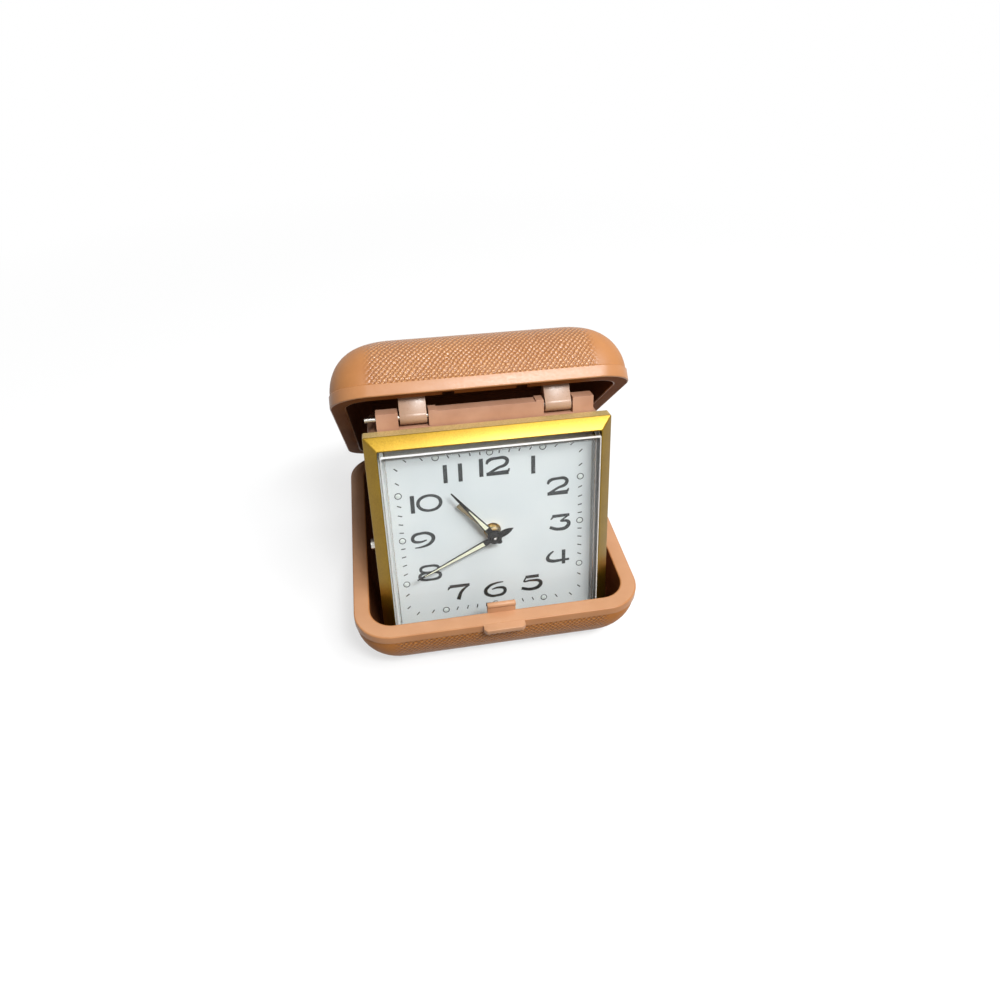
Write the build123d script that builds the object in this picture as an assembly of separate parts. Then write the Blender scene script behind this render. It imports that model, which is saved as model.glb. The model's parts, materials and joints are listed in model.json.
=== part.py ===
from build123d import *
from math import asin, atan2, cos, degrees, hypot, pi, radians, sin
import os

os.makedirs("parts", exist_ok=True)

# The part is a folding travel alarm clock in its clamshell case, stood open.
# Lengths are millimetres. X is to the right, Y away from the viewer, Z up.
# The origin is the middle of the flat bottom of the base, on the table.

# Driving sizes of the case
case_width = 80.0
case_depth = 81.0
shell_height = 17.5
shell_corner = 10.5
base_round = 13.0
lid_round = 11.5
flat_corner = 6.5
floor_wall = 1.4
base_rim = 4.35
lid_rim = 4.1
inner_round = 5.3
inner_corner = 6.3
inner_flat_corner = 4.5
base_band = 2.6
lid_band = 3.4
inner_straight = 5.5
grain_step = 0.25
rim_edge = 0.4
loft_steps = 6
over = 1.0

# Back hinge of the case
back_axis_setback = 0.4
back_axis_drop = 2.9
back_barrel = 2.0
back_pin = 0.8
back_knuckle_gap = 0.3
back_centre_half = 6.0
back_lid_knuckle = 7.4
back_end_knuckle = 8.0
back_web_rise = 1.5
back_web_tuck = 1.0
cutout_clear = 0.4
run_fit = 0.05

# Rod hinge between the lid and the clock
rod_from_edge = 7.0
rod_below_rim = 4.23
rod_radius = 0.7
rod_left_stand = 2.9
rod_right_sink = 1.0
strap_barrel = 2.0
strap_inset = 9.5
strap_width = 7.0
strap_reach = 10.0
strap_root = 3.0
strap_root_rise = 0.6
strap_clear = 0.4

# Rim notches of the lid and the catch of the base
notch_near = 8.0
notch_width = 3.2
notch_rise = 0.8
hook_half = 3.9
hook_front = 4.0
hook_back = 5.5
hook_rise = 3.3
hook_root = 3.6
hook_bead = 0.75
lip_root_half = 5.7
lip_tip_half = 4.9
lip_reach = 2.1
lip_cut = 0.8
lip_thick = 1.5

# Pose of the open clock
clock_lean = 11.14
stand_rise = 1.038

# Clock body. Its own frame has u to the right, v up the dial and n out of the dial,
# with the origin in the middle of the dial's face.
rod_rise = 3.2
rod_depth = 3.82
clock_clear = 3.35
bezel_skirt = 1.15
bezel_side_top = 2.1
bezel_slope = 3.3
bezel_top = 3.6
bezel_lip = 0.4
bezel_wall = 1.8
bezel_rebate_top = 1.05
bezel_corner = 0.5
seat_gap = 0.05

crystal_taper = 0.9
window_clear = 0.3
rebate_clear = 0.2
crystal_flange = 0.9
crystal_top = 5.8
crystal_wall = 1.1
crystal_edge = 0.7

dial_thick = 0.6
dial_hole = 2.4
dial_foot = 0.6
dial_foot_inset = 9.8

rear_step_u = 1.1
rear_step_v = 0.9
rear_foot_step = 2.5
rear_depth = 19.5
rear_wall = 1.8
rear_corner = 3.0
rear_edge = 2.5

block_inset = 3.8
block_rise = 5.1
block_front_depth = 2.0
block_back_depth = 5.6
block_root_sink = 1.4
block_relief_margin = 2.1
block_relief = 0.35
block_recess_step = 0.8

stud_radius = 1.5
stud_stand = 2.2
stud_sink = 1.0
stud_depth = 3.2
stud_drop = 2.1

# Hands
minute_tip_clear = 2.0
minute_tail = 4.7
minute_angle = 243.9
hour_shorter = 6.0
hour_tail = 2.9
hour_angle = 322.8
hand_width = 1.8
hand_tip = 0.35
hand_neck = 1.1
hand_wide_at = 3.0
hand_hub = 1.9
hand_thick = 0.25
alarm_shorter = 4.7
alarm_tail = 1.6
alarm_width = 1.5
alarm_angle = 317.5
alarm_hub = 2.1
alarm_dome = 0.8
alarm_hand_height = 1.3
hour_hand_height = 2.9
minute_hand_height = 3.7

# Movement plates and pillars
plate_clear = 5.4
plate_thick = 0.8
front_plate_depth = 3.8
back_plate_depth = 15.0
plate_corner = 5.0
pillar_inset = 3.0
pillar_radius = 1.8
pillar_stud = 0.9
pillar_tip = 0.4
screw_radius = 0.75
screw_head = 1.8
screw_head_thick = 0.8
screw_slot = 0.4
screw_reach = 4.0
screw_bore_clear = 0.05

# Motion work under the dial
minute_pipe = 0.9
hour_pipe = 1.4
alarm_pipe = 2.0
motion_module_share = 0.01667
cannon_teeth = 10
minute_wheel_teeth = 30
minute_pinion_teeth = 8
hour_wheel_teeth = 32
alarm_wheel_teeth = 36
alarm_set_teeth = 12
motion_thick = 0.6
cannon_depth = 2.95
hour_wheel_depth = 2.05
alarm_wheel_depth = 1.15
minute_wheel_bearing = 10.0
alarm_set_bearing = 280.0
pipe_rise = 0.3

# Wheels between the plates
arbor_radius_share = 0.025
pivot_radius_share = 0.0167
wheel_thick = 0.6
pinion_height = 1.2
end_shake = 0.1
great_module_share = 0.02
great_teeth = 42
great_pinion_teeth = 6
great_wheel_depth = 12.6
great_bearing = 205.0
centre_module_share = 0.01333
centre_teeth = 48
third_pinion_teeth = 6
centre_wheel_depth = 5.6
third_bearing = 90.0
third_module_share = 0.0125
third_teeth = 45
third_wheel_depth = 7.5
fourth_pinion_teeth = 6
fourth_open_share = 0.03125
fourth_bearing = 140.0
fourth_module_share = 0.01167
fourth_teeth = 40
fourth_wheel_depth = 9.5
escape_pinion_teeth = 8
escape_bearing = 30.0
escape_teeth = 15
escape_radius_share = 0.175
escape_root_share = 0.125
escape_wheel_depth = 11.5
wheel_hole_share = 0.24
wheel_hole_place = 0.56
wheel_holes = 3

# Mainsprings and winding keys
winding_arbor_share = 0.05
spring_inner_share = 0.0625
spring_outer_share = 0.3875
spring_turns = 5
spring_steps = 12
spring_thick = 0.45
spring_top_depth = 7.2
spring_bottom_depth = 11.9
alarm_great_u_share = 0.55
alarm_great_drop_share = 0.2708
key_gap = 0.3
key_hub_share = 0.0917
key_hub_height = 1.3
key_wing_share = 0.2333
key_wing_end_share = 0.1
key_thick_share = 0.0667
key_depth = 23.0
key_overlap = 0.2
knob_radius_share = 0.15
knob_height = 3.0
knob_ribs = 14
knob_flute_shares = ((0.0, 1.0), (0.5, 1.0), (0.75, 0.9))
knob_crown = 0.5
knob_crown_slope = 40.0
back_hole_clear = 0.4

# Escapement and alarm striking work
lever_bearing = 5.0
lever_distance_share = 0.25
lever_pin_share = 0.0125
lever_pin_out_share = 0.0479
lever_pin_spread_share = 0.0792
lever_thick = 0.5
lever_hub_share = 0.0375
lever_arm_share = 0.0375
lever_fork_share = 0.25
lever_depth = 11.5
lever_pin_rise = 0.9
balance_u_share = 0.5417
balance_v_share = 0.5833
balance_radius_share = 0.2708
balance_rim_share = 0.0375
balance_arm_share = 0.0417
balance_thick = 0.8
balance_depth = 8.4
roller_radius_share = 0.0333
roller_height = 0.8
hair_inner_share = 0.0396
hair_outer_share = 0.15
hair_turns = 4
hair_steps = 10
hair_thick = 0.16
hair_height = 0.4
hair_depth = 10.4
regulator_hub_share = 0.1083
regulator_arm_share = 0.0292
regulator_reach_share = 0.275
regulator_thick = 0.4
regulator_tab = 2.2
regulator_swing = 20.0
alarm_escape_bearing = 75.0
alarm_escape_teeth = 15
alarm_escape_radius_share = 0.1875
alarm_escape_root_share = 0.1458
alarm_escape_depth = 6.1
hammer_u_share = 0.875
hammer_v_share = 0.375
hammer_arm_share = 0.2917
hammer_width_share = 0.05
hammer_head_share = 0.075
hammer_thick = 1.0
hammer_depth = 9.5
stop_v_share = 0.9167
stop_travel = 3.0
stop_stem = 1.0
stop_foot = 2.6
stop_foot_thick = 0.6
stop_button = 1.8
stop_button_height = 2.4

# Sizes of the clock that follow from the case it folds into
bezel_half = min(case_width, case_depth) / 2 - base_rim - clock_clear
bezel_back = -bezel_skirt
bezel_lip_half = bezel_half - bezel_slope
bezel_window = bezel_lip_half - bezel_lip
bezel_rebate = bezel_half - bezel_wall
crystal_flange_half = bezel_rebate - rebate_clear
crystal_foot_half = bezel_window - window_clear
crystal_front_half = crystal_foot_half - crystal_taper
dial_half = bezel_rebate - rebate_clear
dial_foot_place = dial_half - dial_foot_inset
rear_neck_half = bezel_rebate - rebate_clear
rear_half_u = bezel_half - rear_step_u
rear_half_v = bezel_half - rear_step_v
rear_foot_v = bezel_half - rear_foot_step
rear_back = -rear_depth
block_half = bezel_half - block_inset
block_top = rear_half_v + block_rise
block_front = -block_front_depth
block_back = -block_back_depth
block_root = rear_half_v - block_root_sink
block_recess_floor = rear_half_v + block_recess_step
strap_place = block_half - strap_inset
block_relief_half = strap_place - strap_width / 2 - strap_clear - block_relief_margin
rod_left = block_half + rod_left_stand
rod_right = block_half - rod_right_sink
rod_v = rear_half_v + rod_rise
rod_n = -rod_depth
stud_end = rear_half_u + stud_stand
stud_n = -stud_depth
stud_v = -stud_drop
minute_length = crystal_front_half - crystal_wall - minute_tip_clear
hour_length = minute_length - hour_shorter
alarm_length = hour_length - alarm_shorter
alarm_hand_n = alarm_hand_height
hour_hand_n = hour_hand_height
minute_hand_n = minute_hand_height
plate_half = rear_half_u - rear_wall - plate_clear
pillar_place = plate_half - pillar_inset

# Levels in the movement, counted from the dial's face
front_plate_n = -front_plate_depth
back_plate_n = -back_plate_depth
cannon_n = -cannon_depth
hour_wheel_n = -hour_wheel_depth
alarm_wheel_n = -alarm_wheel_depth
great_wheel_n = -great_wheel_depth
centre_wheel_n = -centre_wheel_depth
third_wheel_n = -third_wheel_depth
fourth_wheel_n = -fourth_wheel_depth
escape_wheel_n = -escape_wheel_depth
lever_n = -lever_depth
balance_n = -balance_depth
hair_n = -hair_depth
alarm_escape_n = -alarm_escape_depth
hammer_n = -hammer_depth
spring_top = -spring_top_depth
spring_bottom = -spring_bottom_depth
key_top = -key_depth

# Wheels, springs and keys, laid out as shares of the plates' half side
great_module = plate_half * great_module_share
centre_module = plate_half * centre_module_share
third_module = plate_half * third_module_share
fourth_module = plate_half * fourth_module_share
motion_module = plate_half * motion_module_share
arbor_radius = plate_half * arbor_radius_share
pivot_radius = plate_half * pivot_radius_share
fourth_open = plate_half * fourth_open_share
escape_radius = plate_half * escape_radius_share
escape_root = plate_half * escape_root_share
winding_arbor = plate_half * winding_arbor_share
spring_inner = plate_half * spring_inner_share
spring_outer = plate_half * spring_outer_share
alarm_great_u = plate_half * alarm_great_u_share
key_hub = plate_half * key_hub_share
key_wing = plate_half * key_wing_share
key_wing_end = plate_half * key_wing_end_share
key_thick = plate_half * key_thick_share
knob_radius = plate_half * knob_radius_share
lever_distance = plate_half * lever_distance_share
lever_pin = plate_half * lever_pin_share
lever_pin_out = plate_half * lever_pin_out_share
lever_pin_spread = plate_half * lever_pin_spread_share
lever_hub = plate_half * lever_hub_share
lever_arm = plate_half * lever_arm_share
lever_fork = plate_half * lever_fork_share
balance_u = plate_half * balance_u_share
balance_v = plate_half * balance_v_share
balance_radius = plate_half * balance_radius_share
balance_rim = plate_half * balance_rim_share
balance_arm = plate_half * balance_arm_share
roller_radius = plate_half * roller_radius_share
hair_inner = plate_half * hair_inner_share
hair_outer = plate_half * hair_outer_share
regulator_hub = plate_half * regulator_hub_share
regulator_arm = plate_half * regulator_arm_share
regulator_reach = plate_half * regulator_reach_share
alarm_escape_radius = plate_half * alarm_escape_radius_share
alarm_escape_root = plate_half * alarm_escape_root_share
hammer_u = plate_half * hammer_u_share
hammer_v = plate_half * hammer_v_share
hammer_arm = plate_half * hammer_arm_share
hammer_width = plate_half * hammer_width_share
hammer_head = plate_half * hammer_head_share
stop_v = plate_half * stop_v_share
alarm_great_v = -plate_half * alarm_great_drop_share

# Worked-out places
rim_z = shell_height
back_y = case_depth / 2 + back_axis_setback
back_z = rim_z - back_axis_drop
front_y = -case_depth / 2
rod_closed_y = front_y + rod_from_edge
rod_closed_z = rim_z - rod_below_rim
lean_cos = cos(radians(clock_lean))
lean_sin = sin(radians(clock_lean))
clock_reach = (rod_v + bezel_half) * lean_cos + (rod_n - bezel_back) * lean_sin
rod_z = floor_wall + stand_rise + clock_reach
lid_arm_y = back_y - rod_closed_y
lid_arm_z = rod_closed_z - back_z
lid_rise = asin((rod_z - back_z) / hypot(lid_arm_y, lid_arm_z))
lid_open = degrees(lid_rise - atan2(lid_arm_z, lid_arm_y))
lid_place = Pos(0, back_y, back_z) * Rot(-lid_open, 0, 0) * Pos(0, -back_y, -back_z)
rod_y = back_y - hypot(lid_arm_y, lid_arm_z) * cos(lid_rise)
dial_y = rod_y - rod_v * lean_sin + rod_n * lean_cos
dial_z = rod_z - rod_v * lean_cos - rod_n * lean_sin
upright = 90.0
clock_place = Pos(0, dial_y, dial_z) * Rot(upright - clock_lean, 0, 0)


def save(name, shape, place=None):
    moved = shape if place is None else place * shape
    export_step(moved, f"parts/{name}.step")


def save_group(name, shapes, place=None):
    save(name, Compound(children=[s.solid() for s in shapes]), place)


# Case shells
def rounded_plate(width, depth, corner, low, high):
    return Pos(0, 0, low) * extrude(RectangleRounded(width, depth, corner), high - low)


def bowl(width, depth, corner, end_corner, roll, straight, drop):
    """Tray-shaped solid: rim at Z 0, straight band, then sides rolling in to a flat."""
    faces = []
    for step in range(loft_steps + 1):
        turn = pi / 2 * step / loft_steps
        inset = roll * (1 - cos(turn))
        level = -straight - drop * sin(turn)
        share = 1 - cos(turn)
        radius = corner + (end_corner - corner) * share
        face = RectangleRounded(width - 2 * inset, depth - 2 * inset, radius)
        faces.append(Pos(0, 0, level) * face)
    return rounded_plate(width, depth, corner, -straight, 0) + loft(faces)


def shell(rim, band, roll):
    """One half of the case, rim up at Z 0."""
    step = 2 * grain_step
    field_drop = shell_height - band
    field = bowl(
        case_width - step, case_depth - step, shell_corner - grain_step,
        flat_corner, roll, band, field_drop,
    )
    strip = rounded_plate(case_width, case_depth, shell_corner, -band, 0)
    inner_drop = shell_height - floor_wall - inner_straight
    inner = bowl(
        case_width - 2 * rim, case_depth - 2 * rim, inner_corner,
        inner_flat_corner, inner_round, inner_straight, inner_drop,
    )
    body = field + strip - inner
    rim_edges = body.edges().filter_by(lambda e: abs(e.center().Z) < seat_gap)
    return chamfer(rim_edges, rim_edge)


def bar_along_x(radius, start, end, y, z):
    bar = extrude(Circle(radius), end - start)
    return Pos(start, y, z) * Rot(0, upright, 0) * bar


def block(x0, x1, y0, y1, z0, z1):
    centre = Pos((x0 + x1) / 2, (y0 + y1) / 2, (z0 + z1) / 2)
    return centre * Box(x1 - x0, y1 - y0, z1 - z0)


def prism_along_x(points, start, end):
    face = make_face(Polyline(*[(0, y, z) for y, z in points], close=True))
    return Pos(start, 0, 0) * extrude(face, end - start, dir=(1, 0, 0))


lid_knuckle_start = back_centre_half + back_knuckle_gap
lid_knuckle_end = lid_knuckle_start + back_lid_knuckle
end_knuckle_start = lid_knuckle_end + back_knuckle_gap
end_knuckle_end = end_knuckle_start + back_end_knuckle
lid_knuckles = ((-lid_knuckle_end, -lid_knuckle_start), (lid_knuckle_start, lid_knuckle_end))
base_knuckles = (
    (-end_knuckle_end, -end_knuckle_start),
    (-back_centre_half, back_centre_half),
    (end_knuckle_start, end_knuckle_end),
)


def base_catch():
    """Front snap hook with its bead, and the thumb lip outside the rim."""
    hook_mid = (hook_front + hook_back) / 2
    upright_plate = block(
        -hook_half, hook_half, front_y + hook_front, front_y + hook_back,
        rim_z - hook_root, rim_z + hook_rise - hook_bead,
    )
    bead = bar_along_x(
        hook_bead, -hook_half, hook_half, front_y + hook_mid, rim_z + hook_rise - hook_bead
    )
    outline = Polyline(
        (-lip_root_half, front_y + rim_edge + over),
        (-lip_root_half, front_y - lip_reach + lip_cut),
        (-lip_tip_half, front_y - lip_reach),
        (lip_tip_half, front_y - lip_reach),
        (lip_root_half, front_y - lip_reach + lip_cut),
        (lip_root_half, front_y + rim_edge + over),
        close=True,
    )
    lip = Pos(0, 0, rim_z - lip_thick) * extrude(make_face(outline), lip_thick)
    return upright_plate + bead + lip


def make_base():
    body = Pos(0, 0, rim_z) * shell(base_rim, base_band, base_round)
    reach = back_barrel + cutout_clear
    for start, end in lid_knuckles:
        body -= block(
            start - back_knuckle_gap, end + back_knuckle_gap, back_y - reach, back_y + reach,
            back_z - reach, rim_z + over,
        )
    for start, end in base_knuckles:
        body += bar_along_x(back_barrel, start, end, back_y, back_z)
    body -= bar_along_x(back_pin, -end_knuckle_end - over, end_knuckle_end + over, back_y, back_z)
    return body + base_catch()


def make_lid():
    body = Pos(0, 0, rim_z) * Rot(2 * upright, 0, 0) * shell(lid_rim, lid_band, lid_round)
    band_z = rim_z + lid_band
    for start, end in lid_knuckles:
        body += bar_along_x(back_barrel, start, end, back_y, back_z)
        web = [
            (back_y - back_barrel, back_z),
            (back_y - back_barrel, rim_z + rim_edge + back_web_tuck),
            (case_depth / 2 - back_web_tuck, band_z + back_web_rise),
            (case_depth / 2 - grain_step, band_z + back_web_rise),
            (back_y + back_barrel, rim_z),
            (back_y + back_barrel, back_z),
        ]
        body += prism_along_x(web, start, end)
    body -= bar_along_x(back_pin + run_fit, -lid_knuckle_end - over, lid_knuckle_end + over, back_y, back_z)
    for side in (-1, 1):
        middle = side * strap_place
        start = middle - strap_width / 2
        end = middle + strap_width / 2
        body += bar_along_x(strap_barrel, start, end, rod_closed_y, rod_closed_z)
        body += block(
            start, end, rod_closed_y - strap_barrel, rod_closed_y + strap_barrel,
            rod_closed_z, rim_z + strap_reach,
        )
        body += block(
            start, end, front_y + strap_root, rod_closed_y,
            rim_z + strap_root_rise, rim_z + strap_reach,
        )
        notch = side * (notch_near + notch_width / 2)
        body -= block(
            notch - notch_width / 2, notch + notch_width / 2, front_y - over,
            front_y + lid_rim + rim_edge, rim_z - over, rim_z + notch_rise,
        )
    end = strap_place + strap_width / 2 + over
    body -= bar_along_x(rod_radius + run_fit, -end, end, rod_closed_y, rod_closed_z)
    return body


save("base_shell", make_base())
save("back_hinge_pin", bar_along_x(back_pin, -end_knuckle_end, end_knuckle_end, back_y, back_z))
save("lid_shell", make_lid(), lid_place)


# Wheel making
def disc(radius, low, high, at=(0, 0)):
    return Pos(at[0], at[1], low) * extrude(Circle(radius), high - low)


def toward(origin, distance, bearing):
    angle = radians(bearing)
    return (origin[0] + distance * cos(angle), origin[1] + distance * sin(angle))


def bearing_of(start, end):
    return degrees(atan2(end[1] - start[1], end[0] - start[0]))


tooth_rise = 0.85
tooth_fall = 1.15
root_share = 0.6
tip_share = 0.28


def gear(teeth, module, at, low, high, phase):
    """Straight-toothed wheel blank with a tooth centred on the phase angle."""
    pitch = teeth * module / 2
    pitch_angle = 2 * pi / teeth
    points = []
    for tooth in range(teeth):
        middle = radians(phase) + tooth * pitch_angle
        for share, radius in (
            (-root_share / 2, pitch - tooth_fall * module),
            (-tip_share / 2, pitch + tooth_rise * module),
            (tip_share / 2, pitch + tooth_rise * module),
            (root_share / 2, pitch - tooth_fall * module),
        ):
            angle = middle + share * pitch_angle
            points.append((radius * cos(angle), radius * sin(angle)))
    face = make_face(Polyline(*points, close=True))
    return Pos(at[0], at[1], low) * extrude(face, high - low)


def ratchet(teeth, outer, root, at, low, high):
    """Escape wheel blank with raked teeth."""
    lean_share = 0.75
    points = []
    for tooth in range(teeth):
        for share, radius in ((0, root), (lean_share, outer)):
            angle = 2 * pi * (tooth + share) / teeth
            points.append((radius * cos(angle), radius * sin(angle)))
        edge = 2 * pi * (tooth + lean_share) / teeth
        points.append((root * cos(edge), root * sin(edge)))
    face = make_face(Polyline(*points, close=True))
    return Pos(at[0], at[1], low) * extrude(face, high - low)


def spoke_holes(radius, at, low, high):
    """Ring of round lightening holes."""
    tool = None
    for index in range(wheel_holes):
        place = toward(at, radius * wheel_hole_place, (index + 1 / 2) * 4 * upright / wheel_holes)
        hole = disc(radius * wheel_hole_share, low - over, high + over, place)
        tool = hole if tool is None else tool + hole
    return tool


plate_front_back = front_plate_n - plate_thick
plate_back_front = back_plate_n
plate_back_back = back_plate_n - plate_thick


def arbor(at, radius=arbor_radius):
    """Arbor between the plates with a pivot in each plate."""
    low = plate_back_front + end_shake
    high = plate_front_back - end_shake
    body = disc(radius, low, high, at)
    return body + disc(pivot_radius, plate_back_back, front_plate_n, at)


# Centres of the wheels, in the clock's frame
centre = (0.0, 0.0)
great_distance = great_module * (great_teeth + great_pinion_teeth) / 2
great_at = toward(centre, great_distance, great_bearing)
alarm_great_at = (alarm_great_u, alarm_great_v)
third_distance = centre_module * (centre_teeth + third_pinion_teeth) / 2
third_at = toward(centre, third_distance, third_bearing)
fourth_distance = third_module * (third_teeth + fourth_pinion_teeth) / 2 + fourth_open
fourth_at = toward(third_at, fourth_distance, fourth_bearing)
escape_distance = fourth_module * (fourth_teeth + escape_pinion_teeth) / 2
escape_at = toward(fourth_at, escape_distance, escape_bearing)
lever_at = toward(escape_at, lever_distance, lever_bearing)
balance_at = (balance_u, balance_v)
alarm_escape_at = toward(alarm_great_at, great_distance, alarm_escape_bearing)
minute_wheel_distance = motion_module * (cannon_teeth + minute_wheel_teeth) / 2
minute_wheel_at = toward(centre, minute_wheel_distance, minute_wheel_bearing)
alarm_set_distance = motion_module * (alarm_wheel_teeth + alarm_set_teeth) / 2
alarm_set_at = toward(centre, alarm_set_distance, alarm_set_bearing)
hammer_at = (hammer_u, hammer_v)
stop_at = (0.0, stop_v)
pillar_at = [(a * pillar_place, b * pillar_place) for a in (-1, 1) for b in (-1, 1)]
foot_at = ((-dial_foot_place, 0.0), (dial_foot_place, 0.0))
half_turn = 2 * upright


# Clock case, dial and glass
def square(half, low, high, corner):
    return rounded_plate(2 * half, 2 * half, corner, low, high)


def make_bezel():
    low_face = Pos(0, 0, bezel_side_top) * RectangleRounded(2 * bezel_half, 2 * bezel_half, bezel_corner)
    top_face = Pos(0, 0, bezel_top) * RectangleRounded(
        2 * bezel_lip_half, 2 * bezel_lip_half, bezel_corner
    )
    body = square(bezel_half, bezel_back, bezel_side_top, bezel_corner)
    body += loft([low_face, top_face], ruled=True)
    body -= square(bezel_window, bezel_back - over, bezel_top + over, bezel_corner)
    return body - square(bezel_rebate, bezel_back - over, bezel_rebate_top, bezel_corner)


def glass_box(top_half, foot_half, low, high, corner):
    foot = Pos(0, 0, low) * RectangleRounded(2 * foot_half, 2 * foot_half, corner)
    top = Pos(0, 0, high) * RectangleRounded(2 * top_half, 2 * top_half, corner)
    return loft([foot, top], ruled=True)


def make_crystal():
    body = glass_box(crystal_front_half, crystal_foot_half, 0, crystal_top, crystal_wall)
    body += square(crystal_flange_half, 0, crystal_flange, crystal_wall)
    top_edges = body.edges().filter_by(lambda e: e.center().Z > crystal_top - seat_gap)
    body = fillet(top_edges, crystal_edge)
    inner = glass_box(
        crystal_front_half - crystal_wall, crystal_foot_half - crystal_wall,
        -over, crystal_top - crystal_wall, crystal_edge,
    )
    return body - inner


def make_dial():
    body = square(dial_half, -dial_thick, 0, bezel_corner) - disc(dial_hole, -over, over)
    for place in foot_at:
        body += disc(dial_foot, plate_front_back - pillar_tip, -dial_thick, place)
    return body


keyhole = winding_arbor + back_hole_clear
back_holes = (
    (great_at, keyhole), (alarm_great_at, keyhole), (centre, keyhole), (alarm_set_at, keyhole),
)


def regulator_slot(clear):
    """Curved slot for the regulator's finger."""
    tool = None
    for step in range(-2, 3):
        angle = half_turn / 2 + step * regulator_swing / 2
        place = toward(balance_at, regulator_reach, angle)
        hole = disc(regulator_arm + clear, rear_back - over, rear_back + rear_wall + over, place)
        tool = hole if tool is None else tool + hole
    return tool


def make_rear_case():
    size_u = 2 * rear_half_u
    size_v = rear_half_v + rear_foot_v
    middle = Pos(0, (rear_half_v - rear_foot_v) / 2, 0)
    body = middle * rounded_plate(size_u, size_v, rear_corner, rear_back, bezel_back)
    back_edges = body.edges().filter_by(lambda e: e.center().Z < rear_back + seat_gap)
    body = fillet(back_edges, rear_edge)
    body += square(rear_neck_half, bezel_back, -dial_thick, rear_corner)
    body += block(-block_half, block_half, block_root, block_top, block_back, block_front)
    body -= block(
        -block_relief_half, block_relief_half, block_top - block_relief, block_top + over,
        block_back - over, block_front + over,
    )
    inner_u = size_u - 2 * rear_wall
    inner_v = size_v - 2 * rear_wall
    body -= middle * rounded_plate(inner_u, inner_v, rear_corner - rear_wall, rear_back + rear_wall, over)
    for side in (-1, 1):
        strap_u = side * strap_place
        half = strap_width / 2 + strap_clear
        body -= block(
            strap_u - half, strap_u + half, block_recess_floor, block_top + over,
            block_back - over, block_front + over,
        )
        body -= bar_along_x(stud_radius, side * rear_half_u - stud_sink, side * rear_half_u + stud_sink,
                            stud_v, stud_n)
    body -= bar_along_x(rod_radius, -block_half - over, block_half + over, rod_v, rod_n)
    for place, radius in back_holes:
        body -= disc(radius, rear_back - over, rear_back + rear_wall + over, place)
    for place in pillar_at:
        body -= disc(screw_radius + seat_gap, rear_back - over, rear_back + rear_wall + over, place)
    slot_half = stop_stem / 2 + back_hole_clear
    body -= block(
        -slot_half, slot_half, stop_v - slot_half, stop_v + stop_travel + slot_half,
        rear_back - over, rear_back + rear_wall + over,
    )
    return body - regulator_slot(back_hole_clear)


save("rear_case", make_rear_case(), clock_place)
save("hinge_rod", bar_along_x(rod_radius, -rod_left, rod_right, rod_v, rod_n), clock_place)
studs = [
    bar_along_x(stud_radius, -stud_end, -rear_half_u + stud_sink, stud_v, stud_n),
    bar_along_x(stud_radius, rear_half_u - stud_sink, stud_end, stud_v, stud_n),
]
save_group("side_studs", studs, clock_place)
save("bezel", make_bezel(), clock_place)
save("crystal", make_crystal(), clock_place)
save("dial", make_dial(), clock_place)


# Hands
def hand_blade(length, tail, width, tip, low):
    points = [
        (-tip / 2, length), (-width / 2, hand_wide_at), (-hand_neck / 2, 0),
        (-width / 3, -tail / 2), (0, -tail), (width / 3, -tail / 2),
        (hand_neck / 2, 0), (width / 2, hand_wide_at), (tip / 2, length),
    ]
    face = make_face(Polyline(*points, close=True))
    return Pos(0, 0, low) * extrude(face, hand_thick)


def make_hand(length, tail, low, hub, bore, angle):
    body = hand_blade(length, tail, hand_width, hand_tip, low)
    body += disc(hub, low, low + hand_thick)
    if bore > 0:
        body -= disc(bore, low - over, low + over)
    return Rot(0, 0, -angle) * body


def make_alarm_hand():
    body = block(
        -alarm_width / 2, alarm_width / 2, -alarm_tail, alarm_length,
        alarm_hand_n, alarm_hand_n + hand_thick,
    )
    dome = Pos(0, 0, alarm_hand_n) * extrude(Circle(alarm_hub), alarm_dome)
    rim = dome.edges().filter_by(lambda e: e.center().Z > alarm_hand_n + alarm_dome / 2)
    body += fillet(rim, alarm_dome / 2)
    body -= disc(hour_pipe + run_fit, alarm_hand_n - over, alarm_hand_n + alarm_dome + over)
    return Rot(0, 0, -alarm_angle) * body


hands_top = minute_hand_n + hand_thick + pipe_rise
save("minute_hand", make_hand(minute_length, minute_tail, minute_hand_n, hand_hub, minute_pipe,
                              minute_angle), clock_place)
save("hour_hand", make_hand(hour_length, hour_tail, hour_hand_n, hand_hub, hour_pipe,
                            hour_angle), clock_place)
save("alarm_hand", make_alarm_hand(), clock_place)


# Motion work
def make_centre_arbor():
    pinion_low = great_wheel_n - wheel_thick - end_shake
    body = arbor(centre)
    body += gear(
        great_pinion_teeth, great_module, centre, pinion_low, pinion_low + pinion_height,
        great_bearing + half_turn / great_pinion_teeth,
    )
    blank = gear(
        centre_teeth, centre_module, centre, centre_wheel_n - wheel_thick, centre_wheel_n, third_bearing
    )
    radius = centre_teeth * centre_module / 2
    body += blank - spoke_holes(radius, centre, centre_wheel_n - wheel_thick, centre_wheel_n)
    body += disc(arbor_radius, rear_back - key_gap, plate_back_front)
    body += disc(minute_pipe, front_plate_n + end_shake, hands_top)
    body += gear(
        cannon_teeth, motion_module, centre, cannon_n - motion_thick, cannon_n, minute_wheel_bearing
    )
    return body + disc(pivot_radius, plate_front_back - end_shake, front_plate_n + end_shake)


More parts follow.
